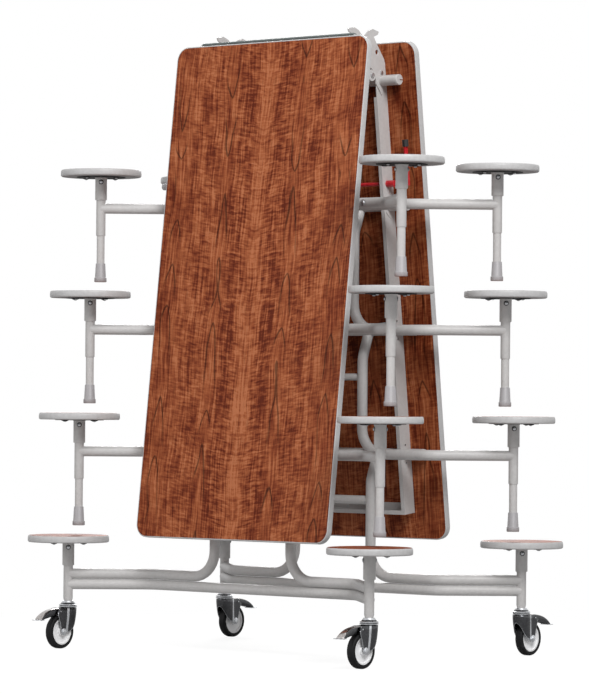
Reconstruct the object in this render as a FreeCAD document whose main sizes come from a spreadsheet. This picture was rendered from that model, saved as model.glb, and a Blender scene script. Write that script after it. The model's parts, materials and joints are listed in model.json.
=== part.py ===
"""Mobile folding cafeteria table with sixteen attached stools, folded for storage.

The two halves stand back to back like a steep roof and meet at a centre hinge near the top.
X runs from the front half to the back half, Y along the hinge, Z up from the floor.  The origin
is on the floor in the middle.  The front half is the back half turned 180 degrees about Z.

Pieces are drawn in three frames of their own and then placed:
- half frame: one half lying open, hinge plane at x = 0, face of the top at z = 0, outer end at +x
- stool frame: x = 0 at the pivot that carries it, z = 0 at the plane its feet stand on
- caster frame: x = y = 0 at the swivel axis, z = 0 on the floor, the wheel trailing to +x
"""
import FreeCAD, Part
import math
import os
import re

import Sketcher

doc = FreeCAD.newDocument("folding_stool_table")

# --------------------------------------------------------------------------- driving dimensions
# Millimetres and degrees.  Each row: name, value, what it is.
SIZES = [
    # table tops
    ("top_width", 914, "across the top"),
    ("top_thickness", 25, "board and face laminate"),
    ("top_corner", 50, "plan radius of the corners"),
    ("top_band", 4, "edge band around the board"),
    ("hinge_gap", 1.5, "end of the top to the hinge plane"),
    # the folded stance
    ("lean_angle", 6.81, "lean of each folded half from upright"),
    ("hinge_depth", 143.5, "centre hinge axis below the face of the top"),
    # pivots of the stool frames
    ("pivot_start", 138.1, "first pivot from the hinge plane"),
    ("stack_gap", 39, "pivot pitch less the seat height, so that a foot clears the seat under it"),
    ("pivot_inset", 320.8, "outer pivot from the outer end of the top"),
    ("pivot_depth", 54.6, "pivot axis below the face of the top"),
    ("pivot_rise", 730.8, "pivot axis above the plane of the feet"),
    ("pivot_radius", 19.5, "outside of the pivot tube"),
    ("pivot_reach", 401, "end of the pivot tube from the middle"),
    ("pivot_slot", 4, "width of the slot across each end of the pivot tube"),
    ("pivot_slot_depth", 12, "depth of that slot"),
    # under-top rail frame
    ("rail_reach", 315, "outer face of each side rail from the middle"),
    ("rail_depth", 60, "depth of the channel below the board"),
    ("rail_wall", 2.8, "sheet thickness of the channel"),
    ("rail_flange", 36, "width of the flange against the board"),
    ("rail_lip", 15, "width of the far flange"),
    ("rail_start", 72, "hinge end of the side rails from the hinge plane"),
    ("rail_setback", 99, "outer face of the cross rail from the outer end of the top"),
    ("rail_hole_radius", 4.5, "small holes beside the outer pivots"),
    ("rail_hole_offset", 33, "those holes from the pivot axis, along the rail"),
    ("bearing_plate", 3, "thickness of the bearing plate at the second pivot"),
    ("bearing_back", 35, "its flat end from the pivot"),
    ("bearing_shoulder", 22, "start of its point from the pivot"),
    ("bearing_tip", 47, "end of its point from the pivot"),
    ("bearing_half_width", 24, "half its width"),
    # hinge plates
    ("plate_thickness", 4.5, "hinge plate"),
    ("plate_margin", 2.1, "plate between its upper edge and the first pivot's bore"),
    ("plate_heel", 63, "hinge end of the upper edge from the hinge plane"),
    ("shoulder_offset", 2.1, "outer end of the upper edge, before the first pivot"),
    ("tip_offset", 52.9, "pointed outer end, past the first pivot"),
    ("plate_tip_depth", 61, "depth of the pointed end below the face of the top"),
    ("waist_offset", 9.9, "lower edge meets the slope to the point, past the first pivot"),
    ("plate_waist_depth", 89, "depth of the lower edge there"),
    ("notch_start", 104, "notch between the plate and the lobe, outer corner"),
    ("notch_start_depth", 93, "depth of that corner"),
    ("notch_end", 86.5, "inner corner of the notch"),
    ("notch_end_depth", 117, "depth of that corner"),
    ("lobe_place", 116, "centre of the round lobe from the hinge plane"),
    ("lobe_depth", 110, "centre of the round lobe below the face of the top"),
    ("lobe_radius", 21, "round lobe"),
    ("hinge_boss", 28, "radius of the plate around the hinge axis"),
    ("hook_neck", 22.6, "inner corner of the hook past the hinge plane"),
    ("hook_neck_rise", 58.5, "that corner above the hinge axis"),
    ("hook_barb", 39.6, "tip of the barb past the hinge plane"),
    ("hook_barb_rise", 89.5, "tip of the barb above the hinge axis"),
    ("hook_throat", 28.9, "root of the barb past the hinge plane"),
    ("hook_throat_rise", 82.5, "root of the barb above the hinge axis"),
    ("hook_back", 50.7, "back of the hook past the hinge plane"),
    ("hook_back_rise", 55.7, "back of the hook above the hinge axis"),
    ("hook_root", 45.5, "lower back of the hook past the hinge plane"),
    ("hook_root_rise", 29, "that point above the hinge axis"),
    ("slope_foot", 4.1, "hinge end of the plate's slope, past the hinge plane"),
    ("slope_foot_rise", 68.2, "that point above the hinge axis"),
    ("sight_hole_radius", 8.5, "hole in the plate's slope"),
    ("sight_hole_place", 34, "that hole from the hinge plane"),
    ("sight_hole_depth", 73.6, "that hole below the face of the top"),
    # support bar under the joint of the tops
    ("support_radius", 4.75, "bar"),
    ("support_reach", 371, "its bent ends from the middle"),
    ("support_past", 10.9, "bar past the hinge plane"),
    ("support_weld", 0.35, "bar sunk into the tab that it is welded to"),
    ("support_bend", 14, "bend radius of the bar"),
    ("support_tab_length", 42, "tab that holds each end of the bar"),
    ("support_tab_width", 26, "width of the tab"),
    ("support_tab_start", 18, "hinge end of the tab from the hinge plane"),
    ("support_tab", 3, "thickness of the tab"),
    # release levers
    ("lever_offset", 80.8, "lever rod before the second pivot"),
    ("lever_depth", 58, "lever rod below the face of the top"),
    ("lever_rod_radius", 7, "lever rod"),
    ("lever_reach", 411, "middle of the lever bar from the middle of the table"),
    ("lever_bar_length", 133, "rod to the end of the bare bar"),
    ("lever_bar_width", 17, "flat bar"),
    ("lever_bar", 6, "thickness of the bar"),
    ("collar_radius", 12.5, "collar on the rod outside the rail"),
    ("collar_length", 37, "length of the collar"),
    ("keeper_radius", 9, "washer on the rod's far end"),
    ("keeper_length", 6, "thickness of that washer"),
    ("grip_radius", 11.5, "grip"),
    ("grip_length", 25, "grip past the bare bar"),
    ("grip_fit", 0.1, "clearance between the bar and the grip"),
    ("knob_radius", 12.5, "knob on the front rod"),
    ("knob_length", 21, "length of the knob"),
    ("knob_clearance", 43, "start of the knob past the side of the top"),
    # stool frames
    ("leg_radius", 19.05, "legs and arms"),
    ("tube_wall", 2, "wall of the tubes"),
    ("leg_reach", 181.6, "legs from the middle"),
    ("leg_offset", 38.4, "legs from the pivot, towards the centre of the table"),
    ("leg_top_drop", 100, "bend under the pivot, below the pivot axis"),
    ("leg_top_bend", 110, "radius of that bend"),
    ("arm_height", 275.6, "arms above the plane of the feet"),
    ("arm_bend", 97, "bend from leg to arm"),
    ("elbow_clearance", 33, "bend of the arm seen from above, past the side of the top"),
    ("elbow_bend", 90, "radius of that bend"),
    ("beam_radius", 18, "beam between the arms"),
    ("low_arm_gap", 0.6, "between the base frame's arms and the tube under them"),
    ("crossbar_height", 559, "bar between the legs above the plane of the feet"),
    ("crossbar_radius", 12.7, "bar between the legs"),
    ("base_crossbar_radius", 15.9, "the base frames' bar between the legs"),
    # stools
    ("post_offset", 173.6, "stool axis outward of the pivot"),
    ("post_reach", 718.3, "stool axis from the middle"),
    ("post_radius", 17.5, "post"),
    ("post_top_gap", 5, "top of the post to the underside plate"),
    ("post_bottom", 177.7, "lower end of the post above the plane of the feet"),
    ("post_neck", 10, "length of the taper at the lower end of the post"),
    ("lower_leg_radius", 15, "lower leg"),
    ("lower_leg_bottom", 18, "end of the lower leg inside the foot"),
    ("seat_radius", 151, "seat over its edge band"),
    ("seat_thickness", 25, "seat board"),
    ("seat_band", 4, "edge band around the seat"),
    ("seat_height", 418.2, "top of the seat above the plane of the feet"),
    ("mount_plate_radius", 91, "plate under the seat"),
    ("mount_plate", 2.5, "thickness of that plate"),
    ("sleeve_radius", 22, "sleeve over the post"),
    ("sleeve_length", 84, "sleeve below the plate"),
    ("sleeve_taper", 8, "length of the taper at its end"),
    ("sleeve_fit", 0.1, "clearance between the post and the sleeve"),
    ("foot_height", 69.7, "foot"),
    ("foot_collar_height", 12, "collar at the bottom of the foot"),
    ("foot_collar_radius", 23, "collar"),
    ("foot_radius", 21, "foot above the collar"),
    ("foot_fit", 0.1, "clearance between the lower leg and the foot"),
    # casters
    ("stem_radius", 8, "stem in the base post"),
    ("stem_plug", 40, "solid end of the base post that holds the stem"),
    ("stem_end_gap", 2, "top of the stem below the end of that plug"),
    ("race_radius", 33.5, "swivel race"),
    ("race_gap", 27, "underside of the race above the wheel"),
    ("race_rim", 8, "thickness of its rim"),
    ("race_neck", 14, "taper of the race above its rim"),
    ("race_neck_radius", 21, "top of the race"),
    ("fork_plate", 2.5, "fork sheet"),
    ("fork_half_width", 22, "outer face of the fork from the middle"),
    ("fork_front", 24, "front edge of the fork from the swivel axis"),
    ("fork_front_drop", 20, "height of that edge"),
    ("fork_back", 76, "rear edge of the fork's top from the swivel axis"),
    ("fork_back_drop", 24, "height of the rear edge"),
    ("fork_waist", 60, "rear edge beside the wheel"),
    ("fork_waist_height", 88, "height of that point above the floor"),
    ("axle_trail", 44, "axle behind the swivel axis"),
    ("axle_radius", 6, "axle"),
    ("axle_eye", 13, "radius of the fork around the axle"),
    ("axle_nut_radius", 10, "axle nut"),
    ("axle_nut", 5, "thickness of the axle nut"),
    ("wheel_radius", 63, "tyre"),
    ("wheel_width", 30, "tyre"),
    ("tyre_round", 6, "rounding of the tyre's edges"),
    ("tyre_thickness", 14, "tyre around the hub"),
    ("hub_width", 26, "hub"),
    ("hub_rim", 6, "rim of the hub"),
    ("hub_boss", 15, "boss of the hub"),
    ("hub_recess", 6, "depth of the recess between boss and rim"),
    ("hub_fit", 0.1, "clearance between hub and tyre"),
    ("pedal_pivot", 60, "pedal pin from the swivel axis"),
    ("pedal_pin_drop", 15, "pedal pin below the race"),
    ("pedal_pin_radius", 3, "pedal pin"),
    ("pedal_half_width", 13, "half the pedal's width"),
    ("pedal_sheet", 2, "sheet of the pedal's top and sides"),
    ("pedal_tip", 158, "end of the pedal's body"),
    ("pedal_tip_drop", 42, "top of the pedal's end below the race"),
    ("toe_length", 15, "toe plate past the body"),
    ("toe_half_width", 20, "half the toe plate's width"),
    ("toe_plate", 3, "thickness of the toe plate"),
    # fits and fasteners
    ("running_fit", 0.05, "radial clearance of pins and shafts that turn"),
    ("running_gap", 0.3, "clearance beside pieces that turn"),
    ("bolt_radius", 5, "hinge and lobe bolts"),
    ("bolt_head_radius", 9, "their heads and nuts"),
    ("bolt_head", 5, "thickness of their heads and nuts"),
    ("rivet_radius", 4, "rivet of the hinge plate"),
    ("rivet_offset", 28.7, "rivet before the first pivot"),
    ("rivet_head_radius", 7.5, "rivet head"),
    ("rivet_head", 3, "thickness of the rivet head"),
    ("screw_radius", 2.5, "rail screw"),
    ("screw_length", 18, "rail screw under its head"),
    ("screw_head_radius", 5, "head of the rail screw"),
    ("screw_head", 3, "thickness of that head"),
    ("screw_fit", 0.1, "clearance around the screw and the rivet"),
    ("overrun", 5, "how far a cutting shape runs past a face"),
]

# Sizes that follow from those above: name, formula, what it is.
FOLLOWING = [
    ("pivot_pitch", "seat_height+stack_gap", "from one pivot to the next along the rails"),
    ("top_length", "pivot_start+3*pivot_pitch+pivot_inset-hinge_gap",
     "one half of the top, hinge end to outer end"),
    ("plate_top", "pivot_depth-pivot_radius-plate_margin",
     "upper edge of the hinge plate below the face of the top"),
    ("plate_shoulder", "pivot_start-shoulder_offset", "outer end of that edge"),
    ("plate_tip", "pivot_start+tip_offset", "pointed outer end of the plate"),
    ("plate_waist", "pivot_start+waist_offset", "its lower edge meets the slope to the point"),
    ("rivet_place", "pivot_start-rivet_offset", "rivet from the hinge plane"),
    ("support_depth", "top_thickness+support_tab+support_radius-support_weld",
     "support bar below the face of the top"),
    ("lever_place", "pivot_start+pivot_pitch-lever_offset", "lever rod from the hinge plane"),
    ("knob_reach", "top_width/2+knob_clearance", "start of the knob from the middle"),
    ("elbow_reach", "top_width/2+elbow_clearance", "bend of the arm from the middle"),
    ("race_bottom", "2*wheel_radius+race_gap", "underside of the race above the floor"),
    ("base_post_bottom", "race_bottom+race_rim+race_neck", "lower end of the base post"),
    ("stem_top", "base_post_bottom+stem_plug-stem_end_gap", "top of the stem above the floor"),
    ("hub_radius", "wheel_radius-tyre_thickness", "hub"),
    ("pedal_pivot_height", "race_bottom-pedal_pin_drop", "pedal pin above the floor"),
    ("pedal_tip_height", "race_bottom-pedal_tip_drop", "top of the pedal's end above the floor"),
]

sizes = doc.addObject("Spreadsheet::Sheet", "sizes")
rows = [(alias, str(value), meaning) for alias, value, meaning in SIZES]
rows += [(alias, "=" + formula, meaning) for alias, formula, meaning in FOLLOWING]
for row, (alias, entry, meaning) in enumerate(rows, start=1):
    sizes.set("A%d" % row, alias)
    sizes.set("B%d" % row, entry)
    sizes.set("C%d" % row, meaning)
    sizes.setAlias("B%d" % row, alias)
doc.recompute()
ALIASES = {alias for alias, entry, meaning in rows}


# --------------------------------------------------------------------------- building helpers
def bound(text):
    """The expression with the sheet's name in front of each size that it uses."""
    def qualify(word):
        return "sizes." + word.group() if word.group() in ALIASES else word.group()
    return re.sub(r"[a-z]+(?:_[a-z]+)*", qualify, text)


def number(text):
    """The present value of an expression of the sheet's sizes."""
    return float(sizes.evalExpression(bound(text)))


def bind(piece, **expressions):
    """Tie properties of a piece to expressions of the sheet's sizes."""
    for name, text in expressions.items():
        piece.setExpression(name, bound(text))
    return piece


def placed(piece, x, y, z, turn="0;0;0"):
    """Tie a piece's Placement to a position and a yaw;pitch;roll turn."""
    text = "placement(vector(%s;%s;%s);rotation(%s))" % (x, y, z, turn)
    piece.setExpression("Placement", bound(text))
    return piece


def block(name, low, high):
    """A box between two corners."""
    box = doc.addObject("Part::Box", name)
    spans = ["(%s)-(%s)" % (b, a) for a, b in zip(low, high)]
    bind(box, Length=spans[0], Width=spans[1], Height=spans[2])
    return placed(box, *low)


def bar_along_y(name, radius, x, z, start, end):
    """A round bar along Y between two stations."""
    bar = bind(doc.addObject("Part::Cylinder", name), Radius=radius, Height="(%s)-(%s)" % (end, start))
    return placed(bar, x, start, z, "0;0;-90")


def bar_along_z(name, radius, x, y, start, end):
    """An upright round bar between two heights."""
    bar = bind(doc.addObject("Part::Cylinder", name), Radius=radius, Height="(%s)-(%s)" % (end, start))
    return placed(bar, x, y, start)


def cone_along_z(name, low_radius, high_radius, x, y, start, end):
    """An upright cone between two heights."""
    cone = bind(doc.addObject("Part::Cone", name), Radius1=low_radius, Radius2=high_radius,
                Height="(%s)-(%s)" % (end, start))
    return placed(cone, x, y, start)


def fused(name, pieces):
    """One solid of several that touch or overlap."""
    whole = doc.addObject("Part::MultiFuse", name)
    whole.Shapes = pieces
    whole.Refine = True
    return whole


def grouped(name, pieces):
    """Several separate solids as one object."""
    group = doc.addObject("Part::Compound", name)
    group.Links = pieces
    return group


def cut(name, base, tools):
    """A solid without the space of its tools."""
    result = doc.addObject("Part::Cut", name)
    result.Base = base
    result.Tool = tools[0] if len(tools) == 1 else grouped(name + "_tools", tools)
    result.Refine = True
    return result


def copy_at(name, source, x, y, z, turn="0;0;0"):
    """A linked copy of a piece at another place."""
    return placed(grouped(name, [source]), x, y, z, turn)


def pair_at(name, source, x, y, z="0"):
    """Two linked copies, left and right of the middle."""
    left = copy_at(name + "_left", source, x, y, z)
    right = copy_at(name + "_right", source, x, "-(%s)" % y, z)
    return grouped(name, [left, right])


def origin_plane(body, role):
    """One of a body's own origin planes."""
    return [feature for feature in body.Origin.OriginFeatures if feature.Role == role][0]


def outline_sketch(body, name, role, points):
    """A closed outline of straight lines on an origin plane, each corner tied to the sheet."""
    sketch = body.newObject("Sketcher::SketchObject", name)
    sketch.AttachmentSupport = (origin_plane(body, role), [""])
    sketch.MapMode = "FlatFace"
    corners = [FreeCAD.Vector(number(x), number(y), 0) for x, y in points]
    for index, corner in enumerate(corners):
        line = sketch.addGeometry(Part.LineSegment(corner, corners[(index + 1) % len(corners)]))
        x_tie = sketch.addConstraint(Sketcher.Constraint("DistanceX", line, 1, corner.x))
        y_tie = sketch.addConstraint(Sketcher.Constraint("DistanceY", line, 1, corner.y))
        sketch.setExpression("Constraints[%d]" % x_tie, bound(points[index][0]))
        sketch.setExpression("Constraints[%d]" % y_tie, bound(points[index][1]))
    for index in range(len(corners)):
        follower = (index + 1) % len(corners)
        sketch.addConstraint(Sketcher.Constraint("Coincident", index, 2, follower, 1))
    return sketch


def sheet_body(name, role, points, thickness):
    """A flat piece of even thickness, half of it on each side of its outline's plane."""
    body = doc.addObject("PartDesign::Body", name)
    sketch = outline_sketch(body, name + "_outline", role, points)
    pad = body.newObject("PartDesign::Pad", name + "_pad")
    pad.Profile = sketch
    pad.Midplane = True
    bind(pad, Length=thickness)
    doc.recompute()
    return body


def rounded_body(body, radius, chosen):
    """Round the edges of a body's tip that a test chooses."""
    tip = body.Tip
    edges = ["Edge%d" % number for number, edge in enumerate(tip.Shape.Edges, start=1) if chosen(edge)]
    fillet = body.newObject("PartDesign::Fillet", body.Name + "_rounding")
    fillet.Base = (tip, edges)
    bind(fillet, Radius=radius)
    doc.recompute()
    return body


def is_upright(edge):
    """Whether an edge runs along Z."""
    start, end = edge.Vertexes[0].Point, edge.Vertexes[-1].Point
    return (end - start).Length > 1 and abs((end - start).z) > 0.99 * (end - start).Length


def route_wire(route, bends):
    """Straight runs between the points of a route, joined by tangent arcs."""
    points = [FreeCAD.Vector(*(number(text) for text in point)) for point in route]
    edges = []
    start = points[0]
    for before, corner, after, bend in zip(points, points[1:], points[2:], bends):
        towards, away = (before - corner).normalize(), (after - corner).normalize()
        half_turn = (math.pi - towards.getAngle(away)) / 2
        tangent = number(bend) * math.tan(half_turn)
        entry, leave = corner + towards * tangent, corner + away * tangent
        inward = (towards + away).normalize()
        middle = corner + inward * (number(bend) / math.cos(half_turn) - number(bend))
        edges += [Part.makeLine(start, entry), Part.Arc(entry, middle, leave).toShape()]
        start = leave
    edges.append(Part.makeLine(start, points[-1]))
    return Part.Wire(edges)


def bent_bar(name, radius, route, bends):
    """A round bar along a route that bends in more than one plane."""
    wire = route_wire(route, bends)
    first = wire.Edges[0]
    start = first.Vertexes[0].Point
    section = Part.makeCircle(number(radius), start, first.tangentAt(first.FirstParameter))
    bar = doc.addObject("Part::Feature", name)
    bar.Shape = wire.makePipe(Part.Face(Part.Wire(section)))
    return bar


# --------------------------------------------------------------------------- shared places
TOP_END = "(hinge_gap+top_length)"
OUTER_PIVOT = "(%s-pivot_inset)" % TOP_END
RAIL_END = "(%s-rail_setback)" % TOP_END
RAIL_TOP = "-top_thickness"
RAIL_BOTTOM = "(-top_thickness-rail_depth)"
LEVELS = (1, 2, 3, 4)


def pivot_place(level):
    """A pivot's distance from the hinge plane along the half; level 4 is the outer one."""
    return "(%s-%d*pivot_pitch)" % (OUTER_PIVOT, LEVELS[-1] - level)


HINGE_HEIGHT = ("(pivot_rise+%s*cos(lean_angle)-(hinge_depth-pivot_depth)*sin(lean_angle))"
                % OUTER_PIVOT)
HALF_X = "(hinge_depth*cos(lean_angle))"
HALF_Z = "(%s+hinge_depth*sin(lean_angle))" % HINGE_HEIGHT


def pivot_x(level):
    """A folded pivot's distance from the middle of the table."""
    return "(%s*sin(lean_angle)+(hinge_depth-pivot_depth)*cos(lean_angle))" % pivot_place(level)


def feet_z(level):
    """Height above the floor of the plane that a folded stool frame's feet would stand on."""
    return "(%d*pivot_pitch*cos(lean_angle))" % (LEVELS[-1] - level)


# --------------------------------------------------------------------------- table top
def rail_screw_places():
    """Where the rail screws go: between the pivots on both side rails, and on the cross rail."""
    side = "(rail_reach-rail_flange/2)"
    along = ["(%s+pivot_pitch/2)" % pivot_place(level) for level in LEVELS[:-1]]
    along.append("((%s+%s)/2)" % (pivot_place(LEVELS[-1]), RAIL_END))
    places = [(x, y) for x in along for y in (side, "-" + side)]
    cross = "(%s-rail_flange/2)" % RAIL_END
    return places + [(cross, "0"), (cross, "rail_reach/2"), (cross, "-rail_reach/2")]


def top_slab(name, inset):
    """A slab with the plan of the top, drawn in from its edge all round."""
    low_x, high_x = "hinge_gap+%s" % inset, "%s-%s" % (TOP_END, inset)
    half = "top_width/2-%s" % inset
    corners = [(low_x, "-(%s)" % half), (high_x, "-(%s)" % half), (high_x, half), (low_x, half)]
    body = sheet_body(name, "XY_Plane", corners, "top_thickness")
    rounded_body(body, "top_corner-%s" % inset, is_upright)
    return placed(body, "0", "0", "-top_thickness/2")


board_blank = top_slab("board_blank", "top_band")
screw_bores = [bar_along_z("screw_bore_%d" % index, "screw_radius+screw_fit", x, y,
                           "%s-overrun" % RAIL_TOP, "%s-rail_wall+screw_length+screw_fit" % RAIL_TOP)
               for index, (x, y) in enumerate(rail_screw_places(), start=1)]
top_board = cut("top_board", board_blank, screw_bores)
top_edge_band = cut("top_edge_band", top_slab("band_blank", "0"), [board_blank])


# --------------------------------------------------------------------------- rail frame
def rail_frame_half():
    """Two side channels and a cross channel, mitred, open towards the middle of the frame."""
    blank = block("rail_blank", ("rail_start", "-rail_reach", RAIL_BOTTOM),
                  (RAIL_END, "rail_reach", RAIL_TOP))
    inside = "(rail_reach-rail_wall)"
    hollow = block("rail_hollow", ("rail_start-overrun", "-" + inside, "%s+rail_wall" % RAIL_BOTTOM),
                   ("%s-rail_wall" % RAIL_END, inside, "%s-rail_wall" % RAIL_TOP))
    clear = "(rail_reach-rail_flange)"
    flange_window = block("flange_window",
                          ("rail_start-overrun", "-" + clear, "%s-rail_wall-overrun" % RAIL_TOP),
                          ("%s-rail_flange" % RAIL_END, clear, "%s+overrun" % RAIL_TOP))
    open_lip = "(rail_reach-rail_lip)"
    lip_window = block("lip_window",
                       ("rail_start-overrun", "-" + open_lip, "%s-overrun" % RAIL_BOTTOM),
                       ("%s-rail_lip" % RAIL_END, open_lip, "%s+rail_wall+overrun" % RAIL_BOTTOM))
    plate_room = block("hinge_plate_room",
                       ("rail_start-overrun", "-" + inside, "%s-overrun" % RAIL_BOTTOM),
                       ("plate_tip+overrun", inside, "%s+rail_wall+overrun" % RAIL_BOTTOM))
    shell = cut("rail_shell", blank, [hollow, flange_window, lip_window, plate_room])

    point = sheet_body("bearing_plate_sheet", "XZ_Plane",
                       [("-bearing_back", "-bearing_half_width"),
                        ("bearing_shoulder", "-bearing_half_width"),
                        ("bearing_tip", "0"),
                        ("bearing_shoulder", "bearing_half_width"),
                        ("-bearing_back", "bearing_half_width")], "bearing_plate")
    plates = pair_at("bearing_plates", point, pivot_place(2), "(rail_reach+bearing_plate/2)",
                     "-pivot_depth")
    past = "(rail_reach+bearing_plate+overrun)"
    bores = [bar_along_y("pivot_bore_%d" % level, "pivot_radius+running_fit", pivot_place(level),
                         "-pivot_depth", "-" + past, past) for level in LEVELS]
    bores += [bar_along_y("rail_hole_%d_%s" % (level, side), "rail_hole_radius",
                          "%s%srail_hole_offset" % (pivot_place(level), sign), "-pivot_depth",
                          "-" + past, past)
              for level in LEVELS[2:] for side, sign in (("inner", "-"), ("outer", "+"))]
    bores.append(bar_along_y("lever_bore", "lever_rod_radius+running_fit", "lever_place",
                             "-lever_depth", "-" + past, past))
    bores.append(bar_along_y("rivet_bore", "rivet_radius+screw_fit", "rivet_place", "-pivot_depth",
                             "-" + past, past))
    bores += [bar_along_z("flange_bore_%d" % index, "screw_radius+screw_fit", x, y,
                          "%s-rail_wall-overrun" % RAIL_TOP, "%s+overrun" % RAIL_TOP)
              for index, (x, y) in enumerate(rail_screw_places(), start=1)]
    return cut("rail_frame", fused("rail_welded", [shell, plates]), bores)


rail_frame = rail_frame_half()


# --------------------------------------------------------------------------- hinge plates
def hinge_plate_sheet():
    """One hinge plate with its hook, hinge boss and lobe, centred on y = 0."""
    above_hinge = "%s-hinge_depth"
    outline = [("plate_heel", "-plate_top"),
               ("-slope_foot", above_hinge % "slope_foot_rise"),
               ("-hook_neck", above_hinge % "hook_neck_rise"),
               ("-hook_throat", above_hinge % "hook_throat_rise"),
               ("-hook_barb", above_hinge % "hook_barb_rise"),
               ("-hook_back", above_hinge % "hook_back_rise"),
               ("-hook_root", above_hinge % "hook_root_rise"),
               ("-hinge_boss*cos(20)", "-hinge_depth"),
               ("hinge_boss*sin(20)", "-hinge_depth-hinge_boss*cos(20)"),
               ("notch_end", "-notch_end_depth"),
               ("notch_start", "-notch_start_depth"),
               ("lobe_place", "-lobe_depth"),
               ("plate_waist-lobe_radius", "-plate_waist_depth"),
               ("plate_waist", "-plate_waist_depth"),
               ("plate_tip", "-plate_tip_depth"),
               ("plate_shoulder", "-plate_top")]
    sheet = sheet_body("hinge_plate_blank", "XZ_Plane", outline, "plate_thickness")
    half = "plate_thickness/2"
    boss = bar_along_y("hinge_plate_boss", "hinge_boss", "0", "-hinge_depth", "-" + half, half)
    lobe = bar_along_y("hinge_plate_lobe", "lobe_radius", "lobe_place", "-lobe_depth", "-" + half, half)
    return fused("hinge_plate_whole", [sheet, boss, lobe])


def hinge_plate_bored(name, hinge_bore):
    """The plate with its holes; the hinge hole turns on its bolt or is held by it."""
    past = "(plate_thickness/2+overrun)"
    holes = [("hinge", "bolt_radius+" + hinge_bore, "0", "hinge_depth"),
             ("pivot", "pivot_radius+running_fit", pivot_place(1), "pivot_depth"),
             ("lobe", "bolt_radius+screw_fit", "lobe_place", "lobe_depth"),
             ("rivet", "rivet_radius+screw_fit", "rivet_place", "pivot_depth"),
             ("sight", "sight_hole_radius", "sight_hole_place", "sight_hole_depth")]
    bores = [bar_along_y("%s_%s_bore" % (name, hole), radius, x, "-" + depth, "-" + past, past)
             for hole, radius, x, depth in holes]
    return cut(name, hinge_plate_whole, bores)


hinge_plate_whole = hinge_plate_sheet()
hinge_plate_fixed = hinge_plate_bored("hinge_plate_fixed", "screw_fit")
hinge_plate_turning = hinge_plate_bored("hinge_plate_turning", "running_fit")
OUTER_PLATE_Y = "(rail_reach+plate_thickness/2)"
INNER_PLATE_Y = "(rail_reach-rail_wall-plate_thickness/2)"


def hinge_plates_half(name, plate, extras):
    """A half's outer plate at -y and inner plate at +y, with any pieces joined to them."""
    outer = copy_at(name + "_outer", plate, "0", "-" + OUTER_PLATE_Y, "0")
    inner = copy_at(name + "_inner", plate, "0", INNER_PLATE_Y, "0")
    return grouped(name, [outer, inner] + extras)


def support_bar():
    """The bar that carries the other half's end when the table is open."""
    inner_end = "support_tab_start+support_tab_length"
    bar = bent_bar("support_bar_rod", "support_radius",
                   [(inner_end, "-support_reach", "-support_depth"),
                    ("-support_past", "-support_reach", "-support_depth"),
                    ("-support_past", "support_reach", "-support_depth"),
                    (inner_end, "support_reach", "-support_depth")],
                   ["support_bend", "support_bend"])
    tab = block("support_tab_sheet", ("support_tab_start", "-support_tab_width/2",
                                      "%s-support_tab" % RAIL_TOP),
                (inner_end, "support_tab_width/2", RAIL_TOP))
    tabs = pair_at("support_tabs", tab, "0", "support_reach")
    return fused("support_bar", [bar, tabs])


hinge_plates_back = hinge_plates_half("hinge_plates_back", hinge_plate_turning, [])
hinge_plates_front = hinge_plates_half("hinge_plates_front", hinge_plate_fixed, [support_bar()])


# --------------------------------------------------------------------------- fasteners
def pin(name, radius, head_radius, head, start, end, x, z):
    """A pin along Y between two faces, with a head outside each face."""
    shank = bar_along_y(name + "_shank", radius, x, z, "%s-%s" % (start, head), "%s+%s" % (end, head))
    low = bar_along_y(name + "_low_head", head_radius, x, z, "%s-%s" % (start, head), start)
    high = bar_along_y(name + "_high_head", head_radius, x, z, end, "%s+%s" % (end, head))
    return fused(name, [shank, low, high])


OUTER_FACE = "(rail_reach+plate_thickness)"
INNER_FACE = "(rail_reach-rail_wall-plate_thickness)"


def shared_fasteners(half):
    """Rivets, lobe bolts and rail screws of one half."""
    rivet_outer = pin(half + "_outer_rivet", "rivet_radius", "rivet_head_radius", "rivet_head",
                      "-" + OUTER_FACE, "-(rail_reach-rail_wall)", "rivet_place", "-pivot_depth")
    rivet_inner = pin(half + "_inner_rivet", "rivet_radius", "rivet_head_radius", "rivet_head",
                      INNER_FACE, "rail_reach", "rivet_place", "-pivot_depth")
    lobe_outer = pin(half + "_outer_lobe_bolt", "bolt_radius", "bolt_head_radius", "bolt_head",
                     "-" + OUTER_FACE, "-rail_reach", "lobe_place", "-lobe_depth")
    lobe_inner = pin(half + "_inner_lobe_bolt", "bolt_radius", "bolt_head_radius", "bolt_head",
                     INNER_FACE, "(rail_reach-rail_wall)", "lobe_place", "-lobe_depth")
    screws = []
    under = "(%s-rail_wall)" % RAIL_TOP
    for index, (x, y) in enumerate(rail_screw_places(), start=1):
        name = "%s_screw_%d" % (half, index)
        head = bar_along_z(name + "_head", "screw_head_radius", x, y, under + "-screw_head", under)
        shank = bar_along_z(name + "_shank", "screw_radius", x, y, under, under + "+screw_length")
        screws.append(fused(name, [head, shank]))
    return [rivet_outer, rivet_inner, lobe_outer, lobe_inner] + screws


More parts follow.
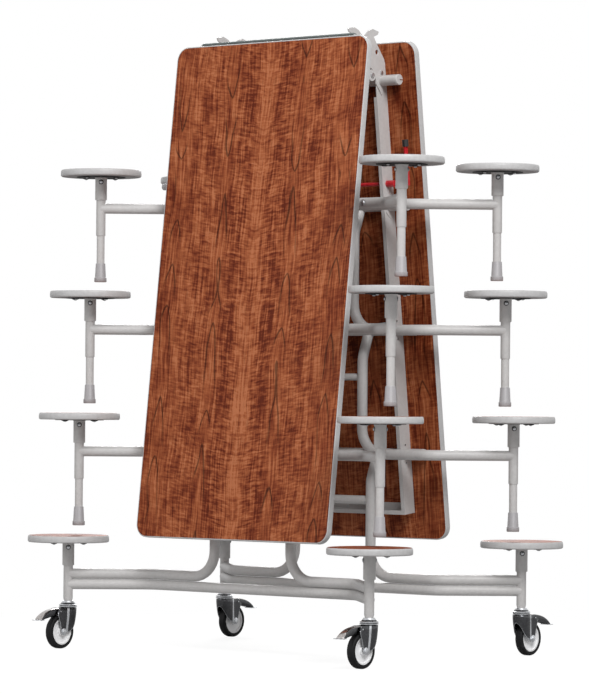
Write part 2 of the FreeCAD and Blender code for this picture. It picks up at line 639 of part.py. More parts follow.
def hinge_bolts():
    """The two bolts on the hinge axis, each with a washer between the two halves' plates."""
    pieces = []
    for side, sign in (("left", 1), ("right", -1)):
        outer, inner = "%d*%s" % (sign, OUTER_FACE), "%d*%s" % (sign, INNER_FACE)
        start, end = (inner, outer) if sign > 0 else (outer, inner)
        pieces.append(pin("hinge_bolt_" + side, "bolt_radius", "bolt_head_radius", "bolt_head",
                          start + "-running_gap", end + "+running_gap", "0", "-hinge_depth"))
        near, far = "(rail_reach-rail_wall+running_gap)", "(rail_reach-running_gap)"
        low, high = (near, far) if sign > 0 else ("-" + far, "-" + near)
        ring = bar_along_y("hinge_washer_ring_" + side, "bolt_head_radius", "0", "-hinge_depth", low, high)
        hole = bar_along_y("hinge_washer_hole_" + side, "bolt_radius+screw_fit", "0", "-hinge_depth",
                           low + "-overrun", high + "+overrun")
        pieces.append(cut("hinge_washer_" + side, ring, [hole]))
    return pieces


fasteners_back = grouped("fasteners_back", shared_fasteners("back"))
fasteners_front = grouped("fasteners_front", shared_fasteners("front") + hinge_bolts())


# --------------------------------------------------------------------------- release levers
LEVER_BAR_Z = "(lever_bar_width/2)"


def lever_bar_block(name, fit):
    """The flat bar of a lever, from its rod towards the hinge, with an all-round allowance."""
    end = "lever_place-lever_bar_length-grip_length/2"
    return block(name, (end + "-" + fit, "-lever_reach-lever_bar/2-" + fit,
                        "-lever_depth-%s-%s" % (LEVER_BAR_Z, fit)),
                 ("lever_place+lever_bar_width/2", "-lever_reach+lever_bar/2+" + fit,
                  "-lever_depth+%s+%s" % (LEVER_BAR_Z, fit)))


def release_lever(name, rod_end):
    """Rod across both rails with its collar, keeper and flat bar."""
    place, depth = "lever_place", "-lever_depth"
    rod = bar_along_y(name + "_rod", "lever_rod_radius", place, depth, "-" + rod_end,
                      "rail_reach+running_gap+keeper_length")
    collar = bar_along_y(name + "_collar", "collar_radius", place, depth,
                         "-rail_reach-running_gap-collar_length", "-rail_reach-running_gap")
    keeper = bar_along_y(name + "_keeper", "keeper_radius", place, depth, "rail_reach+running_gap",
                         "rail_reach+running_gap+keeper_length")
    return [rod, collar, keeper, lever_bar_block(name + "_bar", "0")]


lever_back = fused("lever_back", release_lever("lever_back", "lever_reach"))
front_knob = bar_along_y("front_knob", "knob_radius", "lever_place", "-lever_depth",
                         "-knob_reach-knob_length", "-knob_reach")
lever_front = fused("lever_front", release_lever("lever_front", "knob_reach") + [front_knob])


def lever_grip_half():
    """Round grip pushed over the end of the lever's bar."""
    grip = bind(doc.addObject("Part::Cylinder", "grip_blank"), Radius="grip_radius", Height="grip_length")
    placed(grip, "lever_place-lever_bar_length-grip_length", "-lever_reach", "-lever_depth", "0;90;0")
    return cut("grip", grip, [lever_bar_block("grip_socket", "grip_fit")])


lever_grip = lever_grip_half()


# --------------------------------------------------------------------------- stool frames
def arm_route(side, post_gap):
    """Pivot, down the leg, out along the arm, round the elbow and on to the stool post."""
    run = "sqrt((post_offset+leg_offset)^2+(post_reach-elbow_reach)^2)"
    kept = "(1-(%s)/%s)" % (post_gap, run)
    end_x = "-leg_offset+(post_offset+leg_offset)*%s" % kept
    end_y = "%s(elbow_reach+(post_reach-elbow_reach)*%s)" % (side, kept)
    return [("0", side + "leg_reach", "pivot_rise"),
            ("-leg_offset", side + "leg_reach", "pivot_rise-leg_top_drop"),
            ("-leg_offset", side + "leg_reach", "arm_height"),
            ("-leg_offset", side + "elbow_reach", "arm_height"),
            (end_x, end_y, "arm_height")]


def low_arm_route(post_gap):
    """The base frame's lower tube, from post to post with the same elbows as the arms."""
    height = "arm_height-2*leg_radius-low_arm_gap"
    left, right = arm_route("1*", post_gap)[3:], arm_route("-1*", post_gap)[3:]
    return [(x, y, height) for x, y, z in right[::-1] + left]


def frame_tubes(name, shrink, post_gap, crossbar, base):
    """The tubes of one frame, all drawn smaller by the given amount."""
    bends = ["leg_top_bend", "arm_bend", "elbow_bend"]
    radius = "leg_radius" + shrink
    tubes = [bent_bar("%s_arm_%s" % (name, side), radius, arm_route(sign, post_gap), bends)
             for side, sign in (("left", "1*"), ("right", "-1*"))]
    tubes.append(bar_along_y(name + "_pivot", "pivot_radius" + shrink, "0", "pivot_rise",
                             "-pivot_reach", "pivot_reach"))
    tubes.append(bar_along_y(name + "_crossbar", crossbar + shrink, "-leg_offset", "crossbar_height",
                             "-leg_reach", "leg_reach"))
    if base:
        tubes.append(bent_bar(name + "_low_arm", radius, low_arm_route(post_gap),
                              ["elbow_bend", "elbow_bend"]))
    else:
        beam_end = "(leg_reach+arm_bend)"
        tubes.append(bar_along_y(name + "_beam", "beam_radius" + shrink, "-leg_offset", "arm_height",
                                 "-" + beam_end, beam_end))
    return tubes


POST_TOP = "(seat_height-seat_thickness-mount_plate-post_top_gap)"


def stool_post(name, shrink, top, bottom, neck_radius, lowest):
    """A post with a tapered lower end, and the thinner leg below it where there is one."""
    pieces = [bar_along_z(name, "post_radius" + shrink, "0", "0", bottom + "+post_neck", top),
              cone_along_z(name + "_neck", neck_radius + shrink, "post_radius" + shrink, "0", "0",
                           bottom, bottom + "+post_neck")]
    if lowest != bottom:
        pieces.append(bar_along_z(name + "_lower", neck_radius + shrink, "0", "0", lowest, bottom))
    return pieces


def welded_frame(name, crossbar, base):
    """A stool frame: every tube's outside joined, then every tube's bore taken out at once."""
    hollow = "-tube_wall"
    posts = []
    post_bores = []
    for side, sign in (("left", ""), ("right", "-")):
        post_name = "%s_post_%s" % (name, side)
        if base:
            solid = stool_post(post_name, "", POST_TOP, "base_post_bottom", "lower_leg_radius",
                               "base_post_bottom")
            bore = [bar_along_z(post_name + "_bore", "post_radius-tube_wall", "0", "0",
                                "base_post_bottom+stem_plug", POST_TOP + "+overrun"),
                    bar_along_z(post_name + "_stem_bore", "stem_radius+running_fit", "0", "0",
                                "base_post_bottom-overrun", "base_post_bottom+stem_plug+overrun")]
        else:
            solid = stool_post(post_name, "", POST_TOP, "post_bottom", "lower_leg_radius",
                               "lower_leg_bottom")
            bore = stool_post(post_name + "_bore", hollow, POST_TOP + "+overrun", "post_bottom",
                              "lower_leg_radius", "lower_leg_bottom-overrun")
        at = ("post_offset", sign + "post_reach", "0")
        posts.append(copy_at(post_name + "_placed", fused(post_name + "_solid", solid), *at))
        post_bores.append(copy_at(post_name + "_bore_placed", fused(post_name + "_bore_solid", bore), *at))
    outside = fused(name + "_outside", frame_tubes(name, "", "0", crossbar, base) + posts)
    tube_bores = frame_tubes(name + "_bore", hollow, "post_radius-2*tube_wall", crossbar, base)
    slots = [block("%s_slot_%s" % (name, side),
                   ("-pivot_slot/2", low, "pivot_rise-pivot_radius-overrun"),
                   ("pivot_slot/2", high, "pivot_rise+pivot_radius+overrun"))
             for side, low, high in (("left", "pivot_reach-pivot_slot_depth", "pivot_reach+overrun"),
                                     ("right", "-pivot_reach-overrun", "-pivot_reach+pivot_slot_depth"))]
    inside = fused(name + "_inside", tube_bores + post_bores)
    return cut(name, outside, [inside] + slots)


stool_frame = welded_frame("stool_frame", "crossbar_radius", False)
base_frame = welded_frame("base_frame", "base_crossbar_radius", True)


# --------------------------------------------------------------------------- stools
SEAT_UNDERSIDE = "(seat_height-seat_thickness)"


def seat_pieces():
    """A round seat: its board and the band around the board's edge."""
    board = bar_along_z("seat_board", "seat_radius-seat_band", "0", "0", SEAT_UNDERSIDE, "seat_height")
    disc = bar_along_z("seat_disc", "seat_radius", "0", "0", SEAT_UNDERSIDE, "seat_height")
    return grouped("seat", [board, cut("seat_edge_band", disc, [board])])


def seat_mount_piece():
    """The plate under a seat, with the sleeve that fits over the post."""
    plate_bottom = "(%s-mount_plate)" % SEAT_UNDERSIDE
    sleeve_end = "(%s-sleeve_length)" % plate_bottom
    plate = bar_along_z("mount_plate_disc", "mount_plate_radius", "0", "0", plate_bottom, SEAT_UNDERSIDE)
    sleeve = bar_along_z("mount_sleeve", "sleeve_radius", "0", "0", sleeve_end + "+sleeve_taper",
                         plate_bottom)
    taper = cone_along_z("mount_taper", "(sleeve_radius+post_radius)/2", "sleeve_radius", "0", "0",
                         sleeve_end, sleeve_end + "+sleeve_taper")
    bore = bar_along_z("mount_bore", "post_radius+sleeve_fit", "0", "0", sleeve_end + "-overrun",
                       plate_bottom)
    return cut("seat_mount", fused("mount_whole", [plate, sleeve, taper]), [bore])


def foot_piece():
    """A plastic foot that the lower leg is pushed into."""
    collar = bar_along_z("foot_collar", "foot_collar_radius", "0", "0", "0", "foot_collar_height")
    body = cone_along_z("foot_body", "foot_radius", "post_radius", "0", "0", "foot_collar_height",
                        "foot_height")
    socket = bar_along_z("foot_socket", "lower_leg_radius+foot_fit", "0", "0", "lower_leg_bottom",
                         "foot_height+overrun")
    return cut("foot", fused("foot_whole", [collar, body]), [socket])


seats = pair_at("seats", seat_pieces(), "post_offset", "post_reach")
seat_mounts = pair_at("seat_mounts", seat_mount_piece(), "post_offset", "post_reach")
feet = pair_at("feet", foot_piece(), "post_offset", "post_reach")


# --------------------------------------------------------------------------- casters
def fork_cheek():
    """One side of the fork, from the race down to the axle, with the ear for the pedal's pin."""
    eye_low = "(wheel_radius-axle_eye)"
    outline = [("-fork_front", "race_bottom"),
               ("-fork_front", "race_bottom-fork_front_drop"),
               ("axle_trail-axle_eye", "wheel_radius"),
               ("axle_trail-axle_eye/2", eye_low),
               ("axle_trail+axle_eye/2", eye_low),
               ("axle_trail+axle_eye", "wheel_radius"),
               ("fork_waist", "fork_waist_height"),
               ("fork_back", "race_bottom-fork_back_drop"),
               ("fork_back", "race_bottom")]
    return sheet_body("fork_cheek", "XZ_Plane", outline, "fork_plate")


def caster_fork_piece():
    """Fork with its swivel race, stem, axle and axle nuts."""
    cheeks = pair_at("fork_cheeks", fork_cheek(), "0", "(fork_half_width-fork_plate/2)")
    crown = block("fork_crown", ("-fork_front", "-fork_half_width", "race_bottom-fork_plate"),
                  ("fork_front", "fork_half_width", "race_bottom"))
    rim = bar_along_z("race_rim_disc", "race_radius", "0", "0", "race_bottom", "race_bottom+race_rim")
    neck = cone_along_z("race_neck", "race_radius", "race_neck_radius", "0", "0",
                        "race_bottom+race_rim", "base_post_bottom-running_gap")
    stem = bar_along_z("stem", "stem_radius", "0", "0", "race_bottom", "stem_top")
    nut_end = "(fork_half_width+axle_nut)"
    axle = bar_along_y("axle", "axle_radius", "axle_trail", "wheel_radius", "-" + nut_end, nut_end)
    nuts = pair_at("axle_nuts", bar_along_y("axle_nut_disc", "axle_nut_radius", "axle_trail",
                                            "wheel_radius", "-axle_nut/2", "axle_nut/2"),
                   "0", "(fork_half_width+axle_nut/2)")
    pin_bore = bar_along_y("pedal_pin_bore", "pedal_pin_radius+running_fit", "pedal_pivot",
                           "pedal_pivot_height", "-fork_half_width-overrun", "fork_half_width+overrun")
    whole = fused("fork_whole", [cheeks, crown, rim, neck, stem, axle, nuts])
    return cut("caster_fork", whole, [pin_bore])


def wheel_disc(name, radius, width):
    """A disc around the axle's place."""
    return bar_along_y(name, radius, "axle_trail", "wheel_radius", "-(%s)/2" % width, "(%s)/2" % width)


def caster_tyre_piece():
    """The tyre, with its outer edges rounded."""
    body = doc.addObject("PartDesign::Body", "tyre_body")
    sketch = body.newObject("Sketcher::SketchObject", "tyre_section")
    sketch.AttachmentSupport = (origin_plane(body, "XZ_Plane"), [""])
    sketch.MapMode = "FlatFace"
    for index, radius in enumerate(("wheel_radius", "hub_radius+hub_fit")):
        circle = Part.Circle(FreeCAD.Vector(0, 0, 0), FreeCAD.Vector(0, 0, 1), number(radius))
        sketch.addGeometry(circle)
        sketch.addConstraint(Sketcher.Constraint("Coincident", index, 3, -1, 1))
        tie = sketch.addConstraint(Sketcher.Constraint("Radius", index, number(radius)))
        sketch.setExpression("Constraints[%d]" % tie, bound(radius))
    pad = body.newObject("PartDesign::Pad", "tyre_pad")
    pad.Profile = sketch
    pad.Midplane = True
    bind(pad, Length="wheel_width")
    doc.recompute()
    rounded_body(body, "tyre_round", lambda edge: edge.BoundBox.XLength > 2 * number("hub_radius+hub_rim"))
    return placed(body, "axle_trail", "0", "wheel_radius")


def caster_hub_piece():
    """The hub, recessed between its boss and its rim on both sides."""
    hub = wheel_disc("hub_disc", "hub_radius", "hub_width")
    tools = [wheel_disc("hub_bore", "axle_radius+running_fit", "(hub_width+overrun)")]
    for side, sign in (("left", 1), ("right", -1)):
        face, floor = "%d*(hub_width/2+overrun)" % sign, "%d*(hub_width/2-hub_recess)" % sign
        start, end = (floor, face) if sign > 0 else (face, floor)
        outer = bar_along_y("hub_recess_outer_" + side, "hub_radius-hub_rim", "axle_trail",
                            "wheel_radius", start, end)
        inner = bar_along_y("hub_recess_inner_" + side, "hub_boss", "axle_trail", "wheel_radius",
                            start, end)
        tools.append(cut("hub_recess_" + side, outer, [inner]))
    return cut("caster_hub", hub, tools)


def caster_pedal_piece():
    """The brake pedal: a curved arm over the tyre, its pin and its toe plate."""
    crest = "(race_bottom-fork_plate-running_gap)"
    outline = [("pedal_pivot-10", crest),
               ("pedal_pivot+35", crest + "-2"),
               ("pedal_tip-23", crest + "-16"),
               ("pedal_tip", "pedal_tip_height"),
               ("pedal_tip", "pedal_tip_height-toe_plate"),
               ("pedal_tip-33", "pedal_tip_height-toe_plate"),
               ("pedal_pivot+35", "pedal_pivot_height-20"),
               ("pedal_pivot+8", "pedal_pivot_height-8"),
               ("pedal_pivot-10", "pedal_pivot_height-6")]
    arm = sheet_body("pedal_arm", "XZ_Plane", outline, "2*pedal_half_width")
    core = sheet_body("pedal_core", "XZ_Plane", outline, "2*(pedal_half_width-pedal_sheet)")
    placed(core, "0", "0", "-pedal_sheet")
    pedal_pin = bar_along_y("pedal_pin", "pedal_pin_radius", "pedal_pivot", "pedal_pivot_height",
                            "-fork_half_width", "fork_half_width")
    toe = block("pedal_toe", ("pedal_tip-toe_length", "-toe_half_width", "pedal_tip_height-toe_plate"),
                ("pedal_tip+toe_length", "toe_half_width", "pedal_tip_height"))
    return fused("caster_pedal", [cut("pedal_shell", arm, [core]), pedal_pin, toe])


caster_pieces = {"fork": caster_fork_piece(), "tyre": caster_tyre_piece(),
                 "hub": caster_hub_piece(), "pedal": caster_pedal_piece()}


# --------------------------------------------------------------------------- placing everything
HALVES = (("front", "-", "180"), ("back", "", "0"))
subparts = []


def place_on_half(label, source, half_sign, yaw):
    """Put a piece drawn in the half frame on one folded half."""
    subparts.append(copy_at(label, source, half_sign + HALF_X, "0", HALF_Z,
                            "%s;90-lean_angle;0" % yaw))


def place_on_level(label, source, level, half_sign, yaw):
    """Put a piece drawn in the stool frame at one pivot of one folded half."""
    subparts.append(copy_at(label, source, half_sign + pivot_x(level), "0", feet_z(level),
                            "%s;0;0" % yaw))


for half, half_sign, yaw in HALVES:
    own = {"front": (hinge_plates_front, lever_front, fasteners_front),
           "back": (hinge_plates_back, lever_back, fasteners_back)}[half]
    for kind, source in (("top_board", top_board), ("top_edge_band", top_edge_band),
                         ("rail_frame", rail_frame), ("hinge_plates", own[0]),
                         ("release_lever", own[1]), ("lever_grip", lever_grip),
                         ("fasteners", own[2])):
        place_on_half("%s_%s" % (half, kind), source, half_sign, yaw)
    for level in LEVELS:
        is_base = level == LEVELS[-1]
        place = "base" if is_base else str(level)
        frame = base_frame if is_base else stool_frame
        pieces = [("frame", frame), ("seats", seats), ("seat_mounts", seat_mounts)]
        pieces += [] if is_base else [("feet", feet)]
        for kind, source in pieces:
            place_on_level("%s_%s_%s" % (half, kind, place), source, level, half_sign, yaw)
    for side, side_sign in (("left", ""), ("right", "-")):
        for kind, source in caster_pieces.items():
            swivel_x = "%s(%s+post_offset)" % (half_sign, pivot_x(LEVELS[-1]))
            label = "caster_%s_%s_%s" % (kind, half, side)
            subparts.append(copy_at(label, source, swivel_x, side_sign + "post_reach", "0",
                                    "%s;0;0" % yaw))

# --------------------------------------------------------------------------- checking and writing
doc.recompute()
for piece in doc.Objects:
    if "Invalid" in piece.State or "Error" in piece.State:
        raise RuntimeError("%s did not build: %s" % (piece.Name, piece.State))
for piece in subparts:
    piece.Label = piece.Name
    if piece.Shape.isNull() or not piece.Shape.isValid() or piece.Shape.Volume <= 0:
        raise RuntimeError("%s has no sound shape" % piece.Label)

os.makedirs("parts", exist_ok=True)
for piece in subparts:
    piece.Shape.exportStep(os.path.join("parts", piece.Label + ".step"))
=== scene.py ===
import json
import math

import bmesh
import bpy
import numpy as np
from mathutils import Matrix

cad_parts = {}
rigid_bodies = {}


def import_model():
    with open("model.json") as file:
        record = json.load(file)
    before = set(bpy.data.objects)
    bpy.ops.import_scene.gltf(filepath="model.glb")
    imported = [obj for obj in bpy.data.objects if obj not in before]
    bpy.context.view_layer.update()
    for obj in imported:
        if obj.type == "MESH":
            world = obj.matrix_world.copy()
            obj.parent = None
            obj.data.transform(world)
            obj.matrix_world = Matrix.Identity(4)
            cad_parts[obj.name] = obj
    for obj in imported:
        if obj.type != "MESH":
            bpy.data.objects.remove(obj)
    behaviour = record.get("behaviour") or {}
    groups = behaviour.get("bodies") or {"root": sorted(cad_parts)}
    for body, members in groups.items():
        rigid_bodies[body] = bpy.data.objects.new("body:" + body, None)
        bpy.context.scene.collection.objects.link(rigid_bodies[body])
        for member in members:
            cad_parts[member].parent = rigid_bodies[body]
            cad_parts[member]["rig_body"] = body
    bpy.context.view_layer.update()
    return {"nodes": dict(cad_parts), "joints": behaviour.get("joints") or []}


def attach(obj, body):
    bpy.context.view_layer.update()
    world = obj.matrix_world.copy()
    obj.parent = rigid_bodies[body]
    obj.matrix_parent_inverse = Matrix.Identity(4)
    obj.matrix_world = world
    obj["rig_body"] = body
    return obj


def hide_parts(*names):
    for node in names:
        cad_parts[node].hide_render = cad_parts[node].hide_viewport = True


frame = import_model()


# -------------------- table tops: boards
# Particle board faced on both sides with cherry pattern high-pressure laminate, book-matched about
# the middle of the panel.  The board's edge stands in the groove of the moulded band.
HALVES = {"front": -1, "back": 1}
hinge_gap, top_length, top_half_width, top_thickness = 0.0015, 1.829, 0.457, 0.025
top_corner, corner_steps, band_width, hinge_depth = 0.050, 14, 0.004, 0.1435

# The two halves stand like a steep roof.  Each leans a few degrees and hangs by its outer pivot on a
# base frame.  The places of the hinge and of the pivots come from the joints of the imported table.
joint_at = {joint["name"]: joint["pos_m"] for joint in frame["joints"]}
pivot_at = [joint_at["stool_pivot_back_%d" % level] for level in (1, 2, 3)] + [joint_at["base_pivot_back"]]
hinge_height = joint_at["centre_hinge"][2]
lean = math.atan2(pivot_at[3][0] - pivot_at[0][0], pivot_at[0][2] - pivot_at[3][2])


def from_half(points, half):
    """Points (distance from the hinge, across, above the top's face) of a half lying open, turned to
    its folded place: a turn by 90 degrees less the lean, then half a turn about Z for the front."""
    along, across, above = np.moveaxis(np.asarray(points, float), -1, 0)
    raised = above + hinge_depth
    x = along * math.sin(lean) + raised * math.cos(lean)
    z = hinge_height - along * math.cos(lean) + raised * math.sin(lean)
    return np.stack([HALVES[half] * x, HALVES[half] * across, z], axis=-1)


def linear(code):
    """A colour written as #rrggbb in sRGB, turned to linear red, green, blue and alpha."""
    parts = np.array([int(code[place:place + 2], 16) for place in (1, 3, 5)]) / 255
    light = np.where(parts <= 0.04045, parts / 12.92, ((parts + 0.055) / 1.055) ** 2.4)
    return (*light.tolist(), 1.0)


def add(tree, kind, inputs=(), stops=(), **settings):
    """One node: settings are its properties, inputs its sockets, each a value, another node's output or
    a node for its first output, and stops are the places and colours of a ramp."""
    node = tree.nodes.new(kind)
    for name, value in settings.items():
        setattr(node, name, value)
    for socket, value in dict(inputs).items():
        if isinstance(value, bpy.types.Node):
            value = value.outputs[0]
        if isinstance(value, bpy.types.NodeSocket):
            tree.links.new(value, node.inputs[socket])
        else:
            node.inputs[socket].default_value = value
    for _ in stops[2:]:
        node.color_ramp.elements.new(1.0)
    for number, (place, colour) in enumerate(stops):
        node.color_ramp.elements[number].position = place
        node.color_ramp.elements[number].color = (
            linear(colour) if isinstance(colour, str) else (colour, colour, colour, 1.0))
    return node


def new_finish(name):
    """A material with an empty tree of nodes, and that tree."""
    material = bpy.data.materials.new(name)
    material.use_nodes = True
    material.node_tree.nodes.clear()
    return material, material.node_tree


def cherry_laminate():
    """Satin laminate printed as cherry.  Its pores are drawn 3 mm wide so that they show.  Growth lines
    stand about 8 mm apart, curly figure crosses them in bars 14 mm and ripples 7 mm high, strongest
    beside the middle, and pointed arches are drawn as dark lines 6 mm wide."""
    material, tree = new_finish("cherry_laminate")
    flat = add(tree, "ShaderNodeTexCoord").outputs["UV"]
    place = add(tree, "ShaderNodeSeparateXYZ", {0: flat})
    along = place.outputs["Y"]
    sway_reach, slant = 0.030, 0.15
    slow = add(tree, "ShaderNodeTexNoise", {"Vector": flat, "Scale": 2.4, "Detail": 2.0})
    sway = add(tree, "ShaderNodeMapRange", {"Value": slow, "To Min": -sway_reach, "To Max": sway_reach})
    across = add(tree, "ShaderNodeMath", {0: place.outputs["X"], 1: sway}, operation="ADD")
    mirrored = add(tree, "ShaderNodeMath", {0: across}, operation="ABSOLUTE")
    sloping = add(tree, "ShaderNodeMath", {0: mirrored, 1: slant, 2: along}, operation="MULTIPLY_ADD")

    # Noise stretched to cells of a width and height in metres, with a detail and a distortion: growth
    # lines, broad clouds, pores, curly bars, and the ripples between the bars.
    straight = add(tree, "ShaderNodeCombineXYZ", {"X": across, "Y": along})
    matched = add(tree, "ShaderNodeCombineXYZ", {"X": mirrored, "Y": along})
    slanted = add(tree, "ShaderNodeCombineXYZ", {"X": mirrored, "Y": sloping})
    cells = ((straight, 0.0075, 0.16, 5.0, 0.2), (matched, 0.060, 0.17, 2.0, 0.4),
             (straight, 0.0030, 0.060, 2.0, 0.0), (slanted, 0.050, 0.014, 2.0, 0.6),
             (slanted, 0.036, 0.0070, 1.0, 0.5))
    growth, broad, pores, curl, ripple = [
        add(tree, "ShaderNodeTexNoise", {
            "Vector": add(tree, "ShaderNodeVectorMath", {0: way, 1: (1 / wide, 1 / high, 0.0)},
                          operation="MULTIPLY"),
            "Scale": 1.0, "Detail": detail, "Roughness": 0.55, "Distortion": distortion})
        for way, wide, high, detail, distortion in cells]

    # The ground tone across the panel, and how strongly the figure shows there.
    share = add(tree, "ShaderNodeMath", {0: mirrored, 1: top_half_width}, operation="DIVIDE")
    shade = add(tree, "ShaderNodeValToRGB", {"Fac": share},
                stops=[(0.0, 0.72), (0.09, 0.66), (0.16, 0.44), (0.26, 0.46), (0.36, 0.60),
                       (0.47, 0.50), (0.60, 0.57), (0.86, 0.52), (1.0, 0.45)])
    figured = add(tree, "ShaderNodeValToRGB", {"Fac": share},
                  stops=[(0.0, 0.60), (0.08, 0.75), (0.14, 1.0), (0.26, 0.95), (0.36, 0.30),
                         (0.47, 0.85), (0.64, 0.80), (0.86, 0.35), (1.0, 0.60)])

    # The tone is the shade with growth lines and clouds, and with the bars as far as the figure shows.
    # Noise has a mean of a half: it comes off the bars, and the shift puts the tone in mid ramp.
    growth_part, broad_part, curl_part, ripple_part = 1.80, 1.10, 1.30, 0.94
    contrast, tone_shift = 1.25, -1.930
    tone = add(tree, "ShaderNodeMath", {0: growth, 1: growth_part, 2: shade}, operation="MULTIPLY_ADD")
    tone = add(tree, "ShaderNodeMath", {0: broad, 1: broad_part, 2: tone}, operation="MULTIPLY_ADD")
    bars = add(tree, "ShaderNodeMath", {0: curl, 1: curl_part, 2: -(curl_part + ripple_part) / 2},
               operation="MULTIPLY_ADD")
    bars = add(tree, "ShaderNodeMath", {0: ripple, 1: ripple_part, 2: bars}, operation="MULTIPLY_ADD")
    tone = add(tree, "ShaderNodeMath", {0: bars, 1: figured, 2: tone}, operation="MULTIPLY_ADD")
    tone = add(tree, "ShaderNodeMath", {0: tone, 1: contrast, 2: tone_shift}, operation="MULTIPLY_ADD")
    wood = add(tree, "ShaderNodeValToRGB", {"Fac": tone},
               stops=[(0.06, "#5b2210"), (0.24, "#70311a"), (0.42, "#803e24"), (0.54, "#8d492b"),
                      (0.68, "#985332"), (0.84, "#a65e3b"), (1.0, "#b36d49")])

    # Arches: beside is the distance from the nearest column's middle.  An arch is a line whose distance
    # from the turn grows with a power of beside.  Apart, the distance along the grain to the nearest
    # arch, is divided by one more than the line's slope, so that lines are about equally wide.  Arches
    # fade out 20 to 32 mm beside their column.
    column_at, column_half_gap, turn_at = 0.165, 0.114, 0.50
    power, spread, wander, arch_half_gap = 1.4, 21.0, 0.9, 0.125
    arch_tone, pore_tone = 0.38, 0.66
    beside = add(tree, "ShaderNodeMath", {0: mirrored, 1: column_at}, operation="SUBTRACT")
    beside = add(tree, "ShaderNodeMath", {0: beside, 1: column_half_gap}, operation="PINGPONG")
    height = add(tree, "ShaderNodeMath", {0: along, 1: turn_at}, operation="SUBTRACT")
    height = add(tree, "ShaderNodeMath", {0: height}, operation="ABSOLUTE")
    fall = add(tree, "ShaderNodeMath", {0: beside, 1: power}, operation="POWER")
    height = add(tree, "ShaderNodeMath", {0: fall, 1: -spread, 2: height}, operation="MULTIPLY_ADD")
    height = add(tree, "ShaderNodeMath", {0: slow, 1: wander, 2: height}, operation="MULTIPLY_ADD")
    apart = add(tree, "ShaderNodeMath", {0: height, 1: arch_half_gap}, operation="PINGPONG")
    steep = add(tree, "ShaderNodeMath", {0: beside, 1: power - 1}, operation="POWER")
    steep = add(tree, "ShaderNodeMath", {0: steep, 1: spread * power, 2: 1.0}, operation="MULTIPLY_ADD")
    apart = add(tree, "ShaderNodeMath", {0: apart, 1: steep}, operation="DIVIDE")
    arch = add(tree, "ShaderNodeMapRange", {"Value": apart, "From Min": 0.0018, "From Max": 0.0040,
                                            "To Min": arch_tone})
    away = add(tree, "ShaderNodeMapRange", {"Value": beside, "From Min": 0.020, "From Max": 0.032,
                                            "To Min": arch_tone})
    arch = add(tree, "ShaderNodeMath", {0: arch, 1: away}, operation="MAXIMUM")
    dashes = add(tree, "ShaderNodeMapRange", {"Value": pores, "From Min": 0.30, "From Max": 0.46,
                                              "To Min": pore_tone})
    darker = add(tree, "ShaderNodeMath", {0: arch, 1: dashes}, operation="MULTIPLY")
    colour = add(tree, "ShaderNodeVectorMath", {0: wood, 1: darker}, operation="MULTIPLY")
    relief = add(tree, "ShaderNodeBump", {"Height": dashes, "Strength": 0.25, "Distance": 0.0002})
    shader = add(tree, "ShaderNodeBsdfPrincipled", {"Base Color": colour, "Normal": relief,
                                                    "Roughness": 0.45, "IOR": 1.5,
                                                    "Specular IOR Level": 0.08})
    add(tree, "ShaderNodeOutputMaterial", {"Surface": shader})
    return material


def knit(grids, name, finish, uv=None, sharp=40):
    """One object from grids of points (rows x columns x 3).  Each grid comes with how it closes:
    'closed' joins its last column to its first and covers its first and last rows by one face each,
    'ring' joins its last column and its last row to the first, and 'sheet' is open all round.
    Columns run anticlockwise about the way the rows go, so that the faces point outwards."""
    points, faces, total = [], [], 0
    for grid, closing in grids:
        rows, columns = grid.shape[:2]
        index = total + np.arange(rows * columns).reshape(rows, columns)
        lower = index if closing == "ring" else index[:-1]
        upper = np.roll(index, -1, axis=0) if closing == "ring" else index[1:]
        quads = np.stack([lower, np.roll(lower, -1, axis=1), np.roll(upper, -1, axis=1), upper], axis=-1)
        if closing == "sheet":
            quads = quads[:, :-1]
        faces += quads.reshape(-1, 4).tolist()
        if closing == "closed":
            faces += [index[0, ::-1].tolist(), index[-1].tolist()]
        points.append(grid.reshape(-1, 3))
        total += rows * columns
    points = np.concatenate(points)
    mesh = bpy.data.meshes.new(name)
    mesh.from_pydata(points.tolist(), [], faces)
    if uv is not None:
        corner = np.zeros(len(mesh.loops), np.int32)
        mesh.loops.foreach_get("vertex_index", corner)
        mesh.uv_layers.new(name="grain").data.foreach_set("uv", uv[corner].astype(np.float32).ravel())
    mesh.materials.append(finish)
    mesh.polygons.foreach_set("use_smooth", np.ones(len(mesh.polygons), bool))
    mesh.update()
    mesh.set_sharp_from_angle(angle=math.radians(sharp))
    piece = bpy.data.objects.new(name, mesh)
    bpy.context.scene.collection.objects.link(piece)
    return piece


def top_outline(inset):
    """The top's outline drawn in by inset: four quarter circles joined by straight sides, anticlockwise
    seen from above, as (along, across)."""
    turn = np.linspace(0, math.pi / 2, corner_steps)
    radius = top_corner - inset
    low, high = hinge_gap + top_corner, hinge_gap + top_length - top_corner
    side = top_half_width - top_corner
    centres = [(high, side), (low, side), (low, -side), (high, -side)]
    arcs = [np.stack([x + radius * np.cos(turn + quarter * math.pi / 2),
                      y + radius * np.sin(turn + quarter * math.pi / 2)], axis=-1)
            for quarter, (x, y) in enumerate(centres)]
    return np.concatenate(arcs)


def carried_round_top(profile):
    """A profile of (inset, above the face) carried round the outline: rows are the profile's points."""
    return np.stack([np.column_stack([top_outline(inset), np.full(corner_steps * 4, above)])
                     for inset, above in profile])


